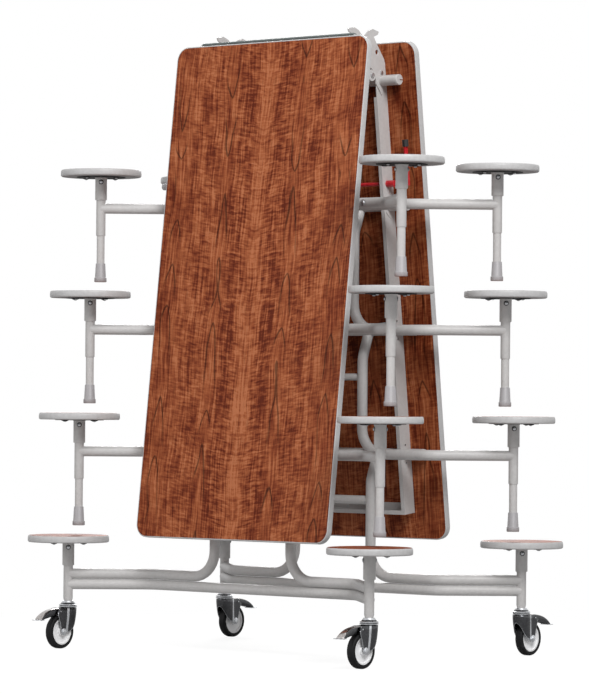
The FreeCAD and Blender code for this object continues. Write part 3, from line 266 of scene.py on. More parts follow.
cherry = cherry_laminate()
board_profile = [(band_width, -top_thickness), (band_width, -0.0006), (band_width + 0.0005, 0.0)]
grain_start = {"front": 0.0, "back": 3.1}
for half in HALVES:
    drawn = carried_round_top(board_profile)
    grain = drawn.reshape(-1, 3)[:, [1, 0]] + (0.0, grain_start[half])
    board = knit([(from_half(drawn, half), "closed")], half + "_board", cherry, uv=grain)
    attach(board, "top_" + half)
    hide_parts(half + "_top_board")

# -------------------- table tops: edge bands
# T-moulding of light grey vinyl, pushed into a groove in the board's edge.  Its face is 25 mm high
# and its two long corners are rounded.
band_round, band_tuck, band_step = 0.003, 0.0001, 0.0002


def mottled_finish(name, patch, detail, stops, surface, relief=None, worn=None):
    """A finish whose colour drifts over patches: noise with cells of the given size in metres, through
    a ramp of colours.  Relief is a second noise as (cell, detail, strength, depth), worn is the
    roughness at the noise's two ends, and surface holds the shader's other values."""
    material, tree = new_finish(name)
    place = add(tree, "ShaderNodeTexCoord").outputs["Object"]
    cloud = add(tree, "ShaderNodeTexNoise", {"Vector": place, "Scale": 1 / patch, "Detail": detail})
    inputs = {"Base Color": add(tree, "ShaderNodeValToRGB", {"Fac": cloud}, stops=stops), **surface}
    if relief:
        cell, steps, strength, depth = relief
        fine = add(tree, "ShaderNodeTexNoise", {"Vector": place, "Scale": 1 / cell, "Detail": steps})
        inputs["Normal"] = add(tree, "ShaderNodeBump", {"Height": fine, "Strength": strength,
                                                        "Distance": depth})
    if worn:
        low, high = worn
        inputs["Roughness"] = add(tree, "ShaderNodeMapRange", {"Value": cloud, "To Min": low, "To Max": high})
    shader = add(tree, "ShaderNodeBsdfPrincipled", inputs)
    add(tree, "ShaderNodeOutputMaterial", {"Surface": shader})
    return material


# Extruded vinyl: faint haze and scuffs about 6 mm across.
edge_vinyl = mottled_finish("vinyl_edge_moulding", 0.012, 4.0, [(0.3, "#b3b2b2"), (0.7, "#bcbbbb")],
                            {"Roughness": 0.42, "IOR": 1.53, "Specular IOR Level": 0.35},
                            relief=(0.0015, 2.0, 0.15, 0.0001))
quarter = np.linspace(0, math.pi / 2, 5)
band_profile = np.concatenate([
    [(band_width - band_tuck, -top_thickness + band_step)],
    np.column_stack([band_round - band_round * np.sin(quarter),
                     -top_thickness + band_round - band_round * np.cos(quarter)]),
    np.column_stack([band_round - band_round * np.cos(quarter), -band_round + band_round * np.sin(quarter)]),
    [(band_width - band_tuck, -band_step)]])
for half in HALVES:
    drawn = carried_round_top(band_profile)
    band = knit([(from_half(drawn, half), "ring")], half + "_edge_band", edge_vinyl, sharp=50)
    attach(band, "top_" + half)
    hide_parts(half + "_top_edge_band")


# -------------------- rail frames and hinge plates
# Under each top a frame of folded steel channel with welded bearing plates, and two cut steel plates
# that make the centre hinge and its hooks, powder coated light warm grey.  The bar that carries the
# joint of the tops, on the front half, has the same coat but is drawn dark grey as painted shade on its
# shaded underside.
def powder_coat(name, low, high):
    """Powder coat on steel: orange peel 1.5 mm across and a very faint unevenness of the colour."""
    return mottled_finish(name, 0.012, 4.0, [(0.3, low), (0.7, high)],
                          {"Roughness": 0.40, "IOR": 1.5, "Specular IOR Level": 0.3},
                          relief=(0.003, 2.0, 0.22, 0.00012))


def dressed(node, name, finish, softness):
    """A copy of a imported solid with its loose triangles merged, flat neighbours joined and its edges
    softened by a bevel; it stands for the solid and moves with the same body."""
    merge_within, flat_within, smooth_within, bevel_from = 0.00001, 1, 32, 35
    mesh = frame["nodes"][node].data.copy()
    mesh.name = name
    work = bmesh.new()
    work.from_mesh(mesh)
    bmesh.ops.remove_doubles(work, verts=work.verts, dist=merge_within)
    bmesh.ops.dissolve_limit(work, angle_limit=math.radians(flat_within), verts=work.verts, edges=work.edges)
    work.to_mesh(mesh)
    work.free()
    mesh.materials.clear()
    mesh.materials.append(finish)
    mesh.polygons.foreach_set("material_index", np.zeros(len(mesh.polygons), np.int32))
    mesh.polygons.foreach_set("use_smooth", np.ones(len(mesh.polygons), bool))
    mesh.set_sharp_from_angle(angle=math.radians(smooth_within))
    piece = bpy.data.objects.new(name, mesh)
    bpy.context.scene.collection.objects.link(piece)
    bevel = piece.modifiers.new("softened_edges", "BEVEL")
    bevel.width = softness
    bevel.segments = 2
    bevel.limit_method = "ANGLE"
    bevel.angle_limit = math.radians(bevel_from)
    bevel.harden_normals = True
    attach(piece, frame["nodes"][node]["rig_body"])
    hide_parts(node)
    return piece


def face_vectors(piece, kind):
    """The 'center' or 'normal' of each face, one row a face."""
    values = np.zeros(len(piece.data.polygons) * 3)
    piece.data.polygons.foreach_get(kind, values)
    return values.reshape(-1, 3)


def second_finish(piece, finish, chosen):
    """Gives the faces whose value in chosen is true a second finish."""
    piece.data.materials.append(finish)
    piece.data.polygons.foreach_set("material_index", chosen.astype(np.int32))


frame_coat = powder_coat("frame_powder_coat", "#bdbbba", "#c4c2c1")
# The bar's dark grey is painted shade, not a coat of its own.
bar_painted_shade_coat = powder_coat("bar_coat_painted_shade", "#59605f", "#636a69")
bar_middle = from_half([-0.0109, 0.0, -0.0324], "front")
bar_reach = 0.0052
for half in HALVES:
    rails = dressed(half + "_rail_frame", half + "_rails", frame_coat, 0.0009)
    plates = dressed(half + "_hinge_plates", half + "_plates", frame_coat, 0.0005)
    if half == "front":
        # The faces round the bar's axis take the dark grey as painted shade.
        offset = face_vectors(plates, "center") - bar_middle
        second_finish(plates, bar_painted_shade_coat, np.hypot(offset[:, 0], offset[:, 2]) < bar_reach)


# -------------------- fasteners
# Zinc plated steel: the hinge bolts, the rivets of the plates and the screws that hold the rails to
# the board, with their edges softened.
def zinc_plate(name, low, high, roughness):
    """Zinc plating: a soft spangle 3 mm across, and a sheen that changes with it."""
    return mottled_finish(name, 0.006, 3.0, [(0.3, low), (0.7, high)], {"Metallic": 1.0},
                          worn=(roughness - 0.06, roughness + 0.08))


bright_zinc = zinc_plate("bright_zinc_plate", "#b4b6b9", "#d6d8db", 0.40)
for half in HALVES:
    fasteners = dressed(half + "_fasteners", half + "_screws", bright_zinc, 0.0008)

# -------------------- release levers
# A steel rod across the half with a flat lever outside the rail, enamelled red, and a black vinyl
# grip pushed over the lever's end.  The front rod ends in a grey moulded knob.
knob_start = 0.4995

# Sprayed enamel: slight dust and thin spots 8 mm across, glossy.
lever_red = mottled_finish("red_enamel", 0.016, 5.0, [(0.3, "#a3141c"), (0.5, "#c0202a"), (0.75, "#cf3a40")],
                           {"Roughness": 0.30, "IOR": 1.5})

# Dipped vinyl: a soft sheen over a grain drawn 0.8 mm wide so that it shows.
grip_black = mottled_finish("black_dipped_vinyl", 0.0016, 2.0, [(0.3, "#1b1b1c"), (0.7, "#2c2c2c")],
                            {"Roughness": 0.50, "IOR": 1.5}, relief=(0.0016, 2.0, 0.3, 0.0002))

# Injection moulded polypropylene: a matt spark-eroded grain, drawn 1 mm wide so that it shows.
plastic_grey = mottled_finish("grey_moulded_plastic", 0.002, 3.0, [(0.3, "#9c9a9c"), (0.7, "#a8a6a8")],
                              {"Roughness": 0.48, "IOR": 1.49}, relief=(0.002, 2.0, 0.25, 0.0002))
for half in HALVES:
    lever = dressed(half + "_release_lever", half + "_lever", lever_red, 0.0010)
    second_finish(lever, plastic_grey, np.abs(face_vectors(lever, "center")[:, 1]) > knob_start)
    grip = dressed(half + "_lever_grip", half + "_grip", grip_black, 0.0025)

# -------------------- stool frames
# Round steel tube, bent and welded, powder coated.  Two legs hang from a pivot tube, turn outwards
# into arms and end at the stool posts; a bar joins the legs and a beam joins the arms.  The base
# frame has a second tube under its arms instead of the beam.
SIDES = {"left": 1, "right": -1}
LEVELS = {"1": 1, "2": 2, "3": 3, "base": 4}
FRAMES = [(half, place, level) for half in HALVES for place, level in LEVELS.items()]
tube_radius, leg_reach, leg_offset, leg_drop = 0.01905, 0.1816, 0.0384, 0.100
leg_bend, arm_bend, elbow_bend = 0.110, 0.097, 0.090
arm_height, elbow_reach, arm_gap = 0.2756, 0.490, 0.0006
post_offset, post_reach, post_radius = 0.1736, 0.7183, 0.0175
pivot_rise, pivot_radius, pivot_reach = 0.7308, 0.0195, 0.401
crossbar_height, crossbar_radius, base_crossbar_radius, beam_radius = 0.559, 0.0127, 0.0159, 0.018
seat_height, seat_thickness, post_gap = 0.4182, 0.025, 0.0075
foot_height, lower_leg_radius, lower_leg_end = 0.0697, 0.0148, 0.018
post_bottom, base_post_bottom, base_post_taper = 0.1727, 0.175, 0.010
low_arm_height = arm_height - 2 * tube_radius - arm_gap
post_top = seat_height - seat_thickness - post_gap


def from_stool(points, half, level):
    """Points (outward of the pivot, across, above the feet) of a stool frame, moved to its pivot."""
    outward, across, above = np.moveaxis(np.asarray(points, float), -1, 0)
    x, _, z = pivot_at[level - 1]
    return np.stack([HALVES[half] * (outward + x), HALVES[half] * across, above + z - pivot_rise], axis=-1)


def body_of(half, level):
    """The body that a level's stool frame moves with."""
    return "base_" + half if level == 4 else "stools_%s_%d" % (half, level)


def rounded_route(corners, bends):
    """Points along straight runs joined by tangent arcs.  At each corner the arc of the given radius
    starts its radius times the tangent of half the turn before the corner; each point of the arc is
    the arc's centre plus the radius along a direction that turns evenly from start to end."""
    corners = np.asarray(corners, float)
    pieces = [corners[:1]]
    for index, bend in enumerate(bends, start=1):
        corner = corners[index]
        back = corners[index - 1] - corner
        ahead = corners[index + 1] - corner
        back, ahead = back / np.linalg.norm(back), ahead / np.linalg.norm(ahead)
        half_turn = (math.pi - math.acos(float(np.dot(back, ahead)))) / 2
        tangent = bend * math.tan(half_turn)
        entry, leave = corner + back * tangent, corner + ahead * tangent
        centre = corner + (back + ahead) / np.linalg.norm(back + ahead) * bend / math.cos(half_turn)
        share = np.linspace(0, 1, max(6, int(half_turn * 14)))[:, None]
        whole = 2 * half_turn
        first, last = np.sin((1 - share) * whole), np.sin(share * whole)
        spokes = (first * (entry - centre) + last * (leave - centre)) / math.sin(whole)
        pieces.append(centre + spokes)
    pieces.append(corners[-1:])
    return np.concatenate(pieces)


def round_bar(path, radius, columns=32):
    """A circle of the given radius, or radii, carried along a path.  The circle at each point lies
    across the path's direction, its first spoke as near to X, or to Y on a path along X, as it can."""
    path = np.asarray(path, float)
    way = np.gradient(path, axis=0)
    way[0], way[-1] = path[1] - path[0], path[-1] - path[-2]
    way /= np.linalg.norm(way, axis=1)[:, None]
    upright = np.eye(3)[1 if abs(way[0, 0]) > 0.9 else 0]
    spoke = upright - way * (way @ upright)[:, None]
    spoke /= np.linalg.norm(spoke, axis=1)[:, None]
    other = np.cross(way, spoke)
    turn = np.linspace(0, 2 * math.pi, columns, endpoint=False)[None, :, None]
    reach = np.broadcast_to(np.asarray(radius, float).reshape(-1, 1, 1), (len(path), 1, 1))
    return path[:, None] + reach * (np.cos(turn) * spoke[:, None] + np.sin(turn) * other[:, None])


def straight_bar(start, end, radius, rounding=0.0015):
    """A straight round bar whose ends are rounded off a little."""
    start, end = np.asarray(start, float), np.asarray(end, float)
    way = (end - start) / np.linalg.norm(end - start)
    near = np.array([0.0, 0.3, 1.0]) * rounding
    path = np.concatenate([start + near[:, None] * way, end - near[::-1, None] * way])
    return round_bar(path, np.array([radius - rounding, radius - rounding * 0.3, radius, radius,
                                     radius - rounding * 0.3, radius - rounding]))


def slotted_tube(radius, reach, slot=0.0022, slot_depth=0.010, rounding=0.0012, slot_floor=0.001):
    """A plugged tube along Y.  Its section is a circle; near each end a slot is cut from the outward
    side nearly to the axis, so there the section's last two points lie on the slot's floor, and on the
    rest of the tube they lie on the circle."""
    gap = math.asin(slot / radius)
    turn = np.linspace(2 * math.pi - gap, gap, 33)
    near, inner, small = reach - rounding, reach - slot_depth, radius - rounding
    rows = []
    for place, size, cut in ((-reach, small, True), (-near, radius, True), (-inner, radius, True),
                             (-inner, radius, False), (inner, radius, False), (inner, radius, True),
                             (near, radius, True), (reach, small, True)):
        deep = [slot_floor, slot_floor] if cut else [radius * math.cos(gap / 3)] * 2
        high = [slot, -slot] if cut else [radius * math.sin(gap / 3), -radius * math.sin(gap / 3)]
        rows.append(np.column_stack([np.append(size * np.cos(turn), deep), np.full(len(turn) + 2, place),
                                     pivot_rise + np.append(size * np.sin(turn), high)]))
    return np.stack(rows)


def weld_bead(small_at, small_way, small_radius, large_at, large_way, large_radius, thickness=0.0022):
    """A bead where a smaller tube meets a larger one.  Its centre runs on the smaller tube's wall at
    the distance along that tube's axis where the wall meets the larger tube, found by solving the
    quadratic for the distance from the larger axis; its thickness ripples round the joint."""
    small_at, large_at = np.asarray(small_at, float), np.asarray(large_at, float)
    axis = np.asarray(small_way, float) / np.linalg.norm(small_way)
    large = np.asarray(large_way, float) / np.linalg.norm(large_way)
    helper = large - axis * np.dot(large, axis)
    first = helper / np.linalg.norm(helper)
    second = np.cross(axis, first)
    turn = np.linspace(0, 2 * math.pi, 48, endpoint=False)[:, None]
    spoke = np.cos(turn) * first + np.sin(turn) * second
    base = small_at + small_radius * spoke - large_at
    flat = base - (base @ large)[:, None] * large
    step = axis - np.dot(axis, large) * large
    a, b, c = step @ step, flat @ step, np.sum(flat * flat, axis=1) - large_radius ** 2
    distance = (-b - np.sqrt(np.maximum(b * b - a * c, 0.0))) / a
    centre = small_at + small_radius * spoke + distance[:, None] * axis
    way = np.roll(centre, -1, axis=0) - np.roll(centre, 1, axis=0)
    way /= np.linalg.norm(way, axis=1)[:, None]
    side = np.cross(way, spoke)
    side /= np.linalg.norm(side, axis=1)[:, None]
    waves, wave_share = 15, 0.12
    size = thickness * (1 + wave_share * np.sin(turn * waves))
    round_turn = np.linspace(0, 2 * math.pi, 8, endpoint=False)[None, :, None]
    outward = np.cross(side, way)
    section = np.cos(round_turn) * outward[:, None] + np.sin(round_turn) * side[:, None]
    return centre[:, None] + size[:, None] * section


def arm(side):
    """One leg and arm: down from the pivot, out along the arm, round the elbow and on to the post."""
    leg = side * leg_reach
    corners = [(0, leg, pivot_rise), (-leg_offset, leg, pivot_rise - leg_drop),
               (-leg_offset, leg, arm_height), (-leg_offset, side * elbow_reach, arm_height),
               (post_offset, side * post_reach, arm_height)]
    return round_bar(rounded_route(corners, [leg_bend, arm_bend, elbow_bend]), tube_radius)


def low_arm():
    """The base frame's second tube, from post to post under the arms."""
    corners = [(post_offset, -post_reach, low_arm_height), (-leg_offset, -elbow_reach, low_arm_height),
               (-leg_offset, elbow_reach, low_arm_height), (post_offset, post_reach, low_arm_height)]
    return round_bar(rounded_route(corners, [elbow_bend, elbow_bend]), tube_radius)


def cross_tube(reach, height, radius):
    """A straight tube between the two legs or the two arms."""
    return straight_bar((-leg_offset, -reach, height), (-leg_offset, reach, height), radius)


def post(side, base):
    """A stool post; above the feet it narrows to the lower leg, on the base it stands on its caster."""
    if base:
        heights = [base_post_bottom, base_post_bottom + base_post_taper, post_top]
        radii = [lower_leg_radius, post_radius, post_radius]
    else:
        heights = [lower_leg_end, post_bottom, post_bottom + 0.0004, post_bottom + 0.0026, post_top]
        radii = [lower_leg_radius, lower_leg_radius, post_radius - 0.0008, post_radius, post_radius]
    path = np.array([(post_offset, side * post_reach, height) for height in heights])
    return round_bar(path, radii)


def on_stool(shapes, half, level):
    """Grids drawn about a stool frame's pivot, moved to their place; how they close stays."""
    return [(from_stool(grid, half, level), closing) for grid, closing in shapes]


# Beads: where the leg's end meets the pivot tube and its slope there, how far the beads of arm and leg
# lie inside those tubes' walls, and the share of the elbow's run at which the arm's bead starts.
leg_end, leg_slope = np.array([-0.0102, 0.0, -0.0266]), (0.36, 0, 0.933)
arm_bead_inset, leg_bead_inset, bead_share = 0.0020, 0.001, 0.3
for half, place, level in FRAMES:
    is_base = level == 4
    bar_radius = base_crossbar_radius if is_base else crossbar_radius
    if is_base:
        joining = low_arm()
    else:
        joining = cross_tube(leg_reach + arm_bend, arm_height, beam_radius)
    plugged = [arm(1), arm(-1), slotted_tube(pivot_radius, pivot_reach),
               cross_tube(leg_reach, crossbar_height, bar_radius), post(1, is_base),
               post(-1, is_base), joining]
    tubes = [(grid, "closed") for grid in plugged]
    for side in SIDES.values():
        leg_at, post_at = (-leg_offset, side * leg_reach, 0), (post_offset, side * post_reach, 0)
        inward = np.array([-leg_offset - post_offset, side * (elbow_reach - post_reach), 0.0])
        tubes.append((weld_bead((-leg_offset, 0, crossbar_height), (0, side, 0), bar_radius,
                                leg_at, (0, 0, 1), tube_radius), "ring"))
        for height in (arm_height, low_arm_height) if is_base else (arm_height,):
            start = post_at + inward * bead_share + (0, 0, height)
            tubes.append((weld_bead(start, -inward, tube_radius - arm_bead_inset,
                                    post_at, (0, 0, 1), post_radius), "ring"))
        tubes.append((weld_bead(leg_end + (0, side * leg_reach, pivot_rise), leg_slope,
                                tube_radius - leg_bead_inset, (0, 0, pivot_rise), (0, 1, 0),
                                pivot_radius), "ring"))
    tubing = knit(on_stool(tubes, half, level), "%s_tubes_%s" % (half, place), frame_coat, sharp=45)
    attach(tubing, body_of(half, level))
    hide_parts("%s_frame_%s" % (half, place))

# -------------------- stool frames: arm bolts
# Zinc plated dome head bolts, each on a washer, on both sides of either arm of the front half's first
# stool frame.
arm_bolt_reach, bolt_columns, bolt_sink = 0.388, 24, 0.0006
dome = np.array([(0.0118, 0.0), (0.0118, 0.0012), (0.0088, 0.0014), (0.0084, 0.0034), (0.0062, 0.0052),
                 (0.0016, 0.0060)])


def dome_bolt(at, way, size=1.0):
    """A washer and dome head: circles of the profile's radii at its distances along the way."""
    way = np.asarray(way, float) / np.linalg.norm(way)
    path = np.asarray(at, float) + np.outer(dome[:, 1] * size - bolt_sink, way)
    return round_bar(path, dome[:, 0] * size, bolt_columns)


arm_bolts = [(dome_bolt((-leg_offset + way * tube_radius, side * arm_bolt_reach, arm_height), (way, 0, 0)),
              "closed") for side in SIDES.values() for way in (1, -1)]
screws = knit(on_stool(arm_bolts, "front", 1), "front_arm_bolts_1", bright_zinc)
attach(screws, body_of("front", 1))
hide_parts("front_frame_1")

# -------------------- stools: seats
# A round board faced above with the same laminate and below with a plain grey backing sheet, with a
# moulded grey band pressed round its edge.
seat_radius, seat_band, rim_round, rim_fall = 0.15095, 0.004, 0.006, 0.012


def turned(profile, centre, columns=72):
    """A profile of (radius, height), from the bottom up its outside, turned about an upright axis."""
    profile = np.asarray(profile, float)
    turn = np.linspace(0, 2 * math.pi, columns, endpoint=False)
    radius, height = profile[:, :1], profile[:, 1:]
    return np.stack([centre[0] + radius * np.cos(turn), centre[1] + radius * np.sin(turn),
                     centre[2] + height + 0 * turn], axis=-1)


# Phenolic backing sheet: sanded, matt, mottled 5 mm across.
backing = mottled_finish("grey_backing_sheet", 0.010, 4.0, [(0.3, "#868485"), (0.7, "#918f8f")],
                         {"Roughness": 0.6, "IOR": 1.5, "Specular IOR Level": 0.2},
                         relief=(0.010, 4.0, 0.2, 0.0002))
board_radius = seat_radius - seat_band
seat_board_profile = [(board_radius, -seat_thickness), (board_radius, -0.0008), (board_radius - 0.0006, 0.0)]
seat_band_profile = np.concatenate([
    [(board_radius + band_tuck, -seat_thickness + band_step)],
    np.column_stack([seat_radius - rim_round + rim_round * np.sin(quarter),
                     -seat_thickness + rim_round - rim_round * np.cos(quarter)]),
    np.column_stack([board_radius + seat_band * np.cos(quarter), -rim_fall + rim_fall * np.sin(quarter)]),
    [(board_radius + band_tuck, -band_step)]])
for half, place, level in FRAMES:
    boards, bands, grain = [], [], []
    for side in SIDES.values():
        centre = (post_offset, side * post_reach, seat_height)
        board = turned(seat_board_profile, centre)
        boards.append((board, "closed"))
        bands.append((turned(seat_band_profile, centre), "ring"))
        # Every seat is cut from another place of the sheet.
        shift = (0.23 * level - 0.31 * side, 0.9 * level + 4.3 * HALVES[half] + 0.37 * side)
        grain.append(board.reshape(-1, 3)[:, :2] - centre[:2] + shift)
    seats = knit(on_stool(boards, half, level), "%s_seat_boards_%s" % (half, place), cherry,
                 uv=np.concatenate(grain))
    second_finish(seats, backing, face_vectors(seats, "normal")[:, 2] < -0.9)
    rims = knit(on_stool(bands, half, level), "%s_seat_bands_%s" % (half, place), edge_vinyl, sharp=50)
    for piece, slot in ((seats, "wood_laminate"), (rims, "edge_band")):
        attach(piece, body_of(half, level))
        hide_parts("%s_seats_%s" % (half, place))

# -------------------- stools: seat mounts
# A pressed steel plate, enamelled black, screwed under the board through four pressed pads, with a
# welded grey sleeve that slides over the post and is held by a bolt square to the arm.
mount_plate_radius, mount_plate_thickness = 0.091, 0.0025
pad_height, screw_circle, screw_size = 0.0030, 0.077, 0.65
sleeve_radius, sleeve_length, sleeve_bolt_drop, sleeve_bolt_size = 0.022, 0.084, 0.019, 0.75
washer_bands = 2

# Baked enamel on pressed steel: a low sheen with a fine texture of 1.5 mm.
plate_black = mottled_finish("black_baked_enamel", 0.003, 4.0, [(0.3, "#202021"), (0.7, "#303031")],
                             {"Roughness": 0.6, "IOR": 1.5, "Specular IOR Level": 0.1},
                             relief=(0.003, 2.0, 0.2, 0.0001))
underside = seat_height - seat_thickness
plate_bottom = -mount_plate_thickness
sleeve_end = plate_bottom - sleeve_length
mount_profile = [(post_radius + 0.0002, sleeve_end + 0.0002), (post_radius + 0.0018, sleeve_end),
                 (sleeve_radius - 0.0010, sleeve_end + 0.0004), (sleeve_radius, sleeve_end + 0.0022),
                 (sleeve_radius, plate_bottom - 0.0030), (sleeve_radius + 0.0010, plate_bottom - 0.0016),
                 (sleeve_radius + 0.0028, plate_bottom - 0.0002)]
disc_profile = [(sleeve_radius + 0.0026, plate_bottom), (mount_plate_radius - 0.0008, plate_bottom),
                (mount_plate_radius, plate_bottom + 0.0008), (mount_plate_radius, -0.0002)]
pad_profile = [(0.0030, plate_bottom - pad_height), (0.0085, plate_bottom - pad_height),
               (0.0115, plate_bottom - 0.0016), (0.0135, plate_bottom - 0.0001)]
for half, place, level in FRAMES:
    sleeves, discs, bolts = [], [], []
    for side in SIDES.values():
        centre = (post_offset, side * post_reach, underside)
        sleeves.append((turned(mount_profile, centre, 48), "closed"))
        discs.append((turned(disc_profile, centre), "closed"))
        for number in range(4):
            spin = math.radians(90 * number)
            pad = np.array(centre) + (screw_circle * math.cos(spin), screw_circle * math.sin(spin), 0.0)
            discs.append((turned(pad_profile, pad, 24), "closed"))
            pad[2] += plate_bottom - pad_height
            bolts.append((dome_bolt(pad, (0, 0, -1), screw_size), "closed"))
        square = np.array([elbow_reach - post_reach, side * (leg_offset + post_offset), 0.0])
        square /= np.linalg.norm(square)
        for way in (1, -1):
            at = np.array([centre[0], centre[1], underside - sleeve_bolt_drop])
            at = at + way * sleeve_radius * square
            bolts.append((dome_bolt(at, way * square, sleeve_bolt_size), "closed"))
    sleeve = knit(on_stool(sleeves, half, level), "%s_sleeves_%s" % (half, place), frame_coat)
    disc = knit(on_stool(discs, half, level), "%s_mount_plates_%s" % (half, place), plate_black)
    screws = knit(on_stool(bolts, half, level), "%s_sleeve_bolts_%s" % (half, place), bright_zinc)
    # A bolt's faces are its bands, washer first, and its two end faces.
    faces_of_bolt = bolt_columns * (len(dome) - 1) + 2
    face = np.arange(len(screws.data.polygons)) % faces_of_bolt
    second_finish(screws, plate_black, face < bolt_columns * washer_bands)
    for piece, slot in ((sleeve, "mount_paint"), (disc, "mount_paint"), (screws, "zinc_steel")):
        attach(piece, body_of(half, level))
        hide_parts("%s_seat_mounts_%s" % (half, place))

# -------------------- feet
# Grey moulded plastic feet, tapered, with a collar that stands on the floor.  Each is pushed over the
# end of a lower leg.
foot_profile = [(0.0205, 0.0), (0.0222, 0.0006), (0.0230, 0.0022), (0.0230, 0.0146), (0.0226, 0.0160),
                (0.0212, 0.0167), (0.0205, 0.0178), (0.0178, foot_height - 0.0012),
                (0.0172, foot_height - 0.0002), (lower_leg_radius + 0.0003, foot_height)]
for half, place, level in FRAMES:
    if level == 4:
        continue
    shoes = [(turned(foot_profile, (post_offset, side * post_reach, 0.0), 48), "closed")
             for side in SIDES.values()]
    feet = knit(on_stool(shoes, half, level), "%s_shoes_%s" % (half, place), plastic_grey)
    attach(feet, body_of(half, level))
    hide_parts("%s_feet_%s" % (half, place))


# -------------------- casters
# Braked swivel casters: a bright race with painted shade in its groove, above a fork of dark plated
# sheet with bright edges and a painted highlight up each cheek, a black rubber tyre on a light hub, and a
# plated brake pedal that curves over the wheel, its skirts darkened as painted shade.
axle_trail, wheel_radius = 0.044, 0.063


def from_caster(points, half, side):
    """Points about the swivel axis, the wheel trailing to +x, moved to one caster."""
    outward, across, above = np.moveaxis(np.asarray(points, float), -1, 0)
    swivel = pivot_at[3][0] + post_offset
    return np.stack([HALVES[half] * (outward + swivel), HALVES[half] * across + SIDES[side] * post_reach,
                     above], axis=-1)


def on_caster(shapes, half, side):
    """Grids drawn about the swivel axis, moved to one caster; how they close stays."""
    return [(from_caster(grid, half, side), closing) for grid, closing in shapes]


def thicken(piece, thickness):
    """Gives a pressed sheet its thickness, on the inner side of the drawn face."""
    sheet = piece.modifiers.new("sheet_thickness", "SOLIDIFY")
    sheet.thickness = thickness
    sheet.offset = -1


def wheel_turned(profile, columns=96):
    """A profile of (radius, across) turned about the axle, which lies along Y behind the swivel."""
    profile = np.asarray(profile, float)
    turn = np.linspace(0, 2 * math.pi, columns, endpoint=False)
    radius, across = profile[:, :1], profile[:, 1:]
    return np.stack([axle_trail + radius * np.sin(turn), across + 0 * turn,
                     wheel_radius + radius * np.cos(turn)], axis=-1)


# Moulded rubber: a dusty grey bloom 10 mm across, matt.
rubber = mottled_finish("black_tyre_rubber", 0.02, 5.0,
                        [(0.3, "#131314"), (0.6, "#1b1b1c"), (0.8, "#2a2a2b")],
                        {"IOR": 1.52, "Specular IOR Level": 0.15}, worn=(0.45, 0.70))

# Moulded polypropylene, half gloss, with a flow pattern 15 mm across.
hub_grey = mottled_finish("light_hub_plastic", 0.03, 3.0, [(0.3, "#ececed"), (0.7, "#f5f5f6")],
                          {"Roughness": 0.32, "IOR": 1.49})
# The fork's dark plated sheet; the same finish is painted shade in the race's groove and on the pedal's
# skirts.
dark_zinc_and_painted_shade = zinc_plate("dark_plated_sheet_and_painted_shade", "#48484a", "#57585a", 0.24)
chrome = zinc_plate("bright_plated_pedal", "#9b9694", "#bdb8b6", 0.16)
tyre_profile = np.array([(0.0491, -0.0149), (0.0530, -0.0150), (0.0532, -0.0144), (0.0538, -0.0144),
                         (0.0540, -0.0150), (0.0572, -0.0149), (0.0600, -0.0138), (0.0619, -0.0116),
                         (0.0629, -0.0085), (0.0630, 0.0), (0.0629, 0.0085), (0.0619, 0.0116),
                         (0.0600, 0.0138), (0.0572, 0.0149), (0.0540, 0.0150), (0.0538, 0.0144),
                         (0.0532, 0.0144), (0.0530, 0.0150), (0.0491, 0.0149)])
hub_side = np.array([(0.0061, 0.0130), (0.0146, 0.0130), (0.0150, 0.0126), (0.0153, 0.0075), (0.0165, 0.0070),
                     (0.0415, 0.0070), (0.0427, 0.0076), (0.0432, 0.0126), (0.0436, 0.0130), (0.0484, 0.0130),
                     (0.0489, 0.0125)])
hub_profile = np.concatenate([hub_side * (1, -1), hub_side[::-1]])

# The fork's horn, pressed from sheet: stations from the rear ear round to the front, each with its top
# and its lower end as (behind the swivel, across, above the floor) in millimetres.
horn_top = np.array([(70, 22, 147), (62, 22, 149), (54, 22, 150), (47, 22, 150), (41, 22, 150),
                     (35, 22.5, 150), (28, 24.5, 150), (20, 27.5, 150), (10, 30.4, 150), (-2, 31.9, 150),
                     (-14, 28.7, 150), (-24, 21.2, 150), (-30, 11.2, 150), (-32, 0, 150)]) / 1000
horn_low = np.array([(75, 22, 132), (70, 22, 116), (62, 22, 93), (57, 22, 66), (52, 22, 53.5),
                     (44, 22, 50), (36, 22, 53.5), (25, 22.3, 59), (9, 23, 65), (-4, 23.5, 74),
                     (-13, 22, 87), (-21, 18.5, 102), (-28, 10.5, 116), (-31, 0, 121)]) / 1000

# The race as (radius, height) in millimetres, from below, and the bands of it darkened as painted
# shade: the groove between its rings and the chamfer at the foot of its cone.
race_columns = 64
race_profile = np.array([(10.0, 152.6), (32.6, 152.6), (33.5, 153.4), (33.5, 155.6), (32.3, 156.4),
                         (30.2, 156.8), (30.0, 158.2), (32.2, 158.6), (33.2, 159.4), (33.2, 161.2),
                         (31.8, 162.2), (28.6, 163.8), (24.2, 168.4), (21.4, 172.6), (20.2, 174.6),
                         (9.0, 174.6)]) / 1000
painted_shade_bands = (4, 5, 6, 11)

# The stem and the axle.  Either end of the axle has a washer, a nut and a bolt end, each given as
# distances outward of the washer's middle, its radii there, and its number of sides.
stem_bottom, stem_top, stem_radius = 0.165, 0.2127, 0.008
axle_reach, axle_radius, washer_at = 0.0215, 0.006, 0.0226
axle_end = (((-0.0008, 0.0004, 0.0008), (0.0125, 0.0125, 0.0118), 32),
            ((0.0006, 0.0030, 0.0036), (0.0100, 0.0100, 0.0090), 6),
            ((0.0034, 0.0040, 0.0044), (0.0064, 0.0060, 0.0030), 24))

# The fork's and the pedal's sheet, the fork's station that starts a strip of painted highlight, the
# columns of faces across the hood and across each of its skirts, and the pedal's pin and toe plate.
fork_sheet, pedal_sheet, painted_highlight_station = 0.0025, 0.0018, 6
hood_columns, skirt_columns = 12, 3
pin_behind, pin_reach, pin_height, pin_radius = 0.060, 0.0228, 0.138, 0.003
toe_half_width, toe_height, toe_half_thickness = 0.020, 0.1095, 0.0014


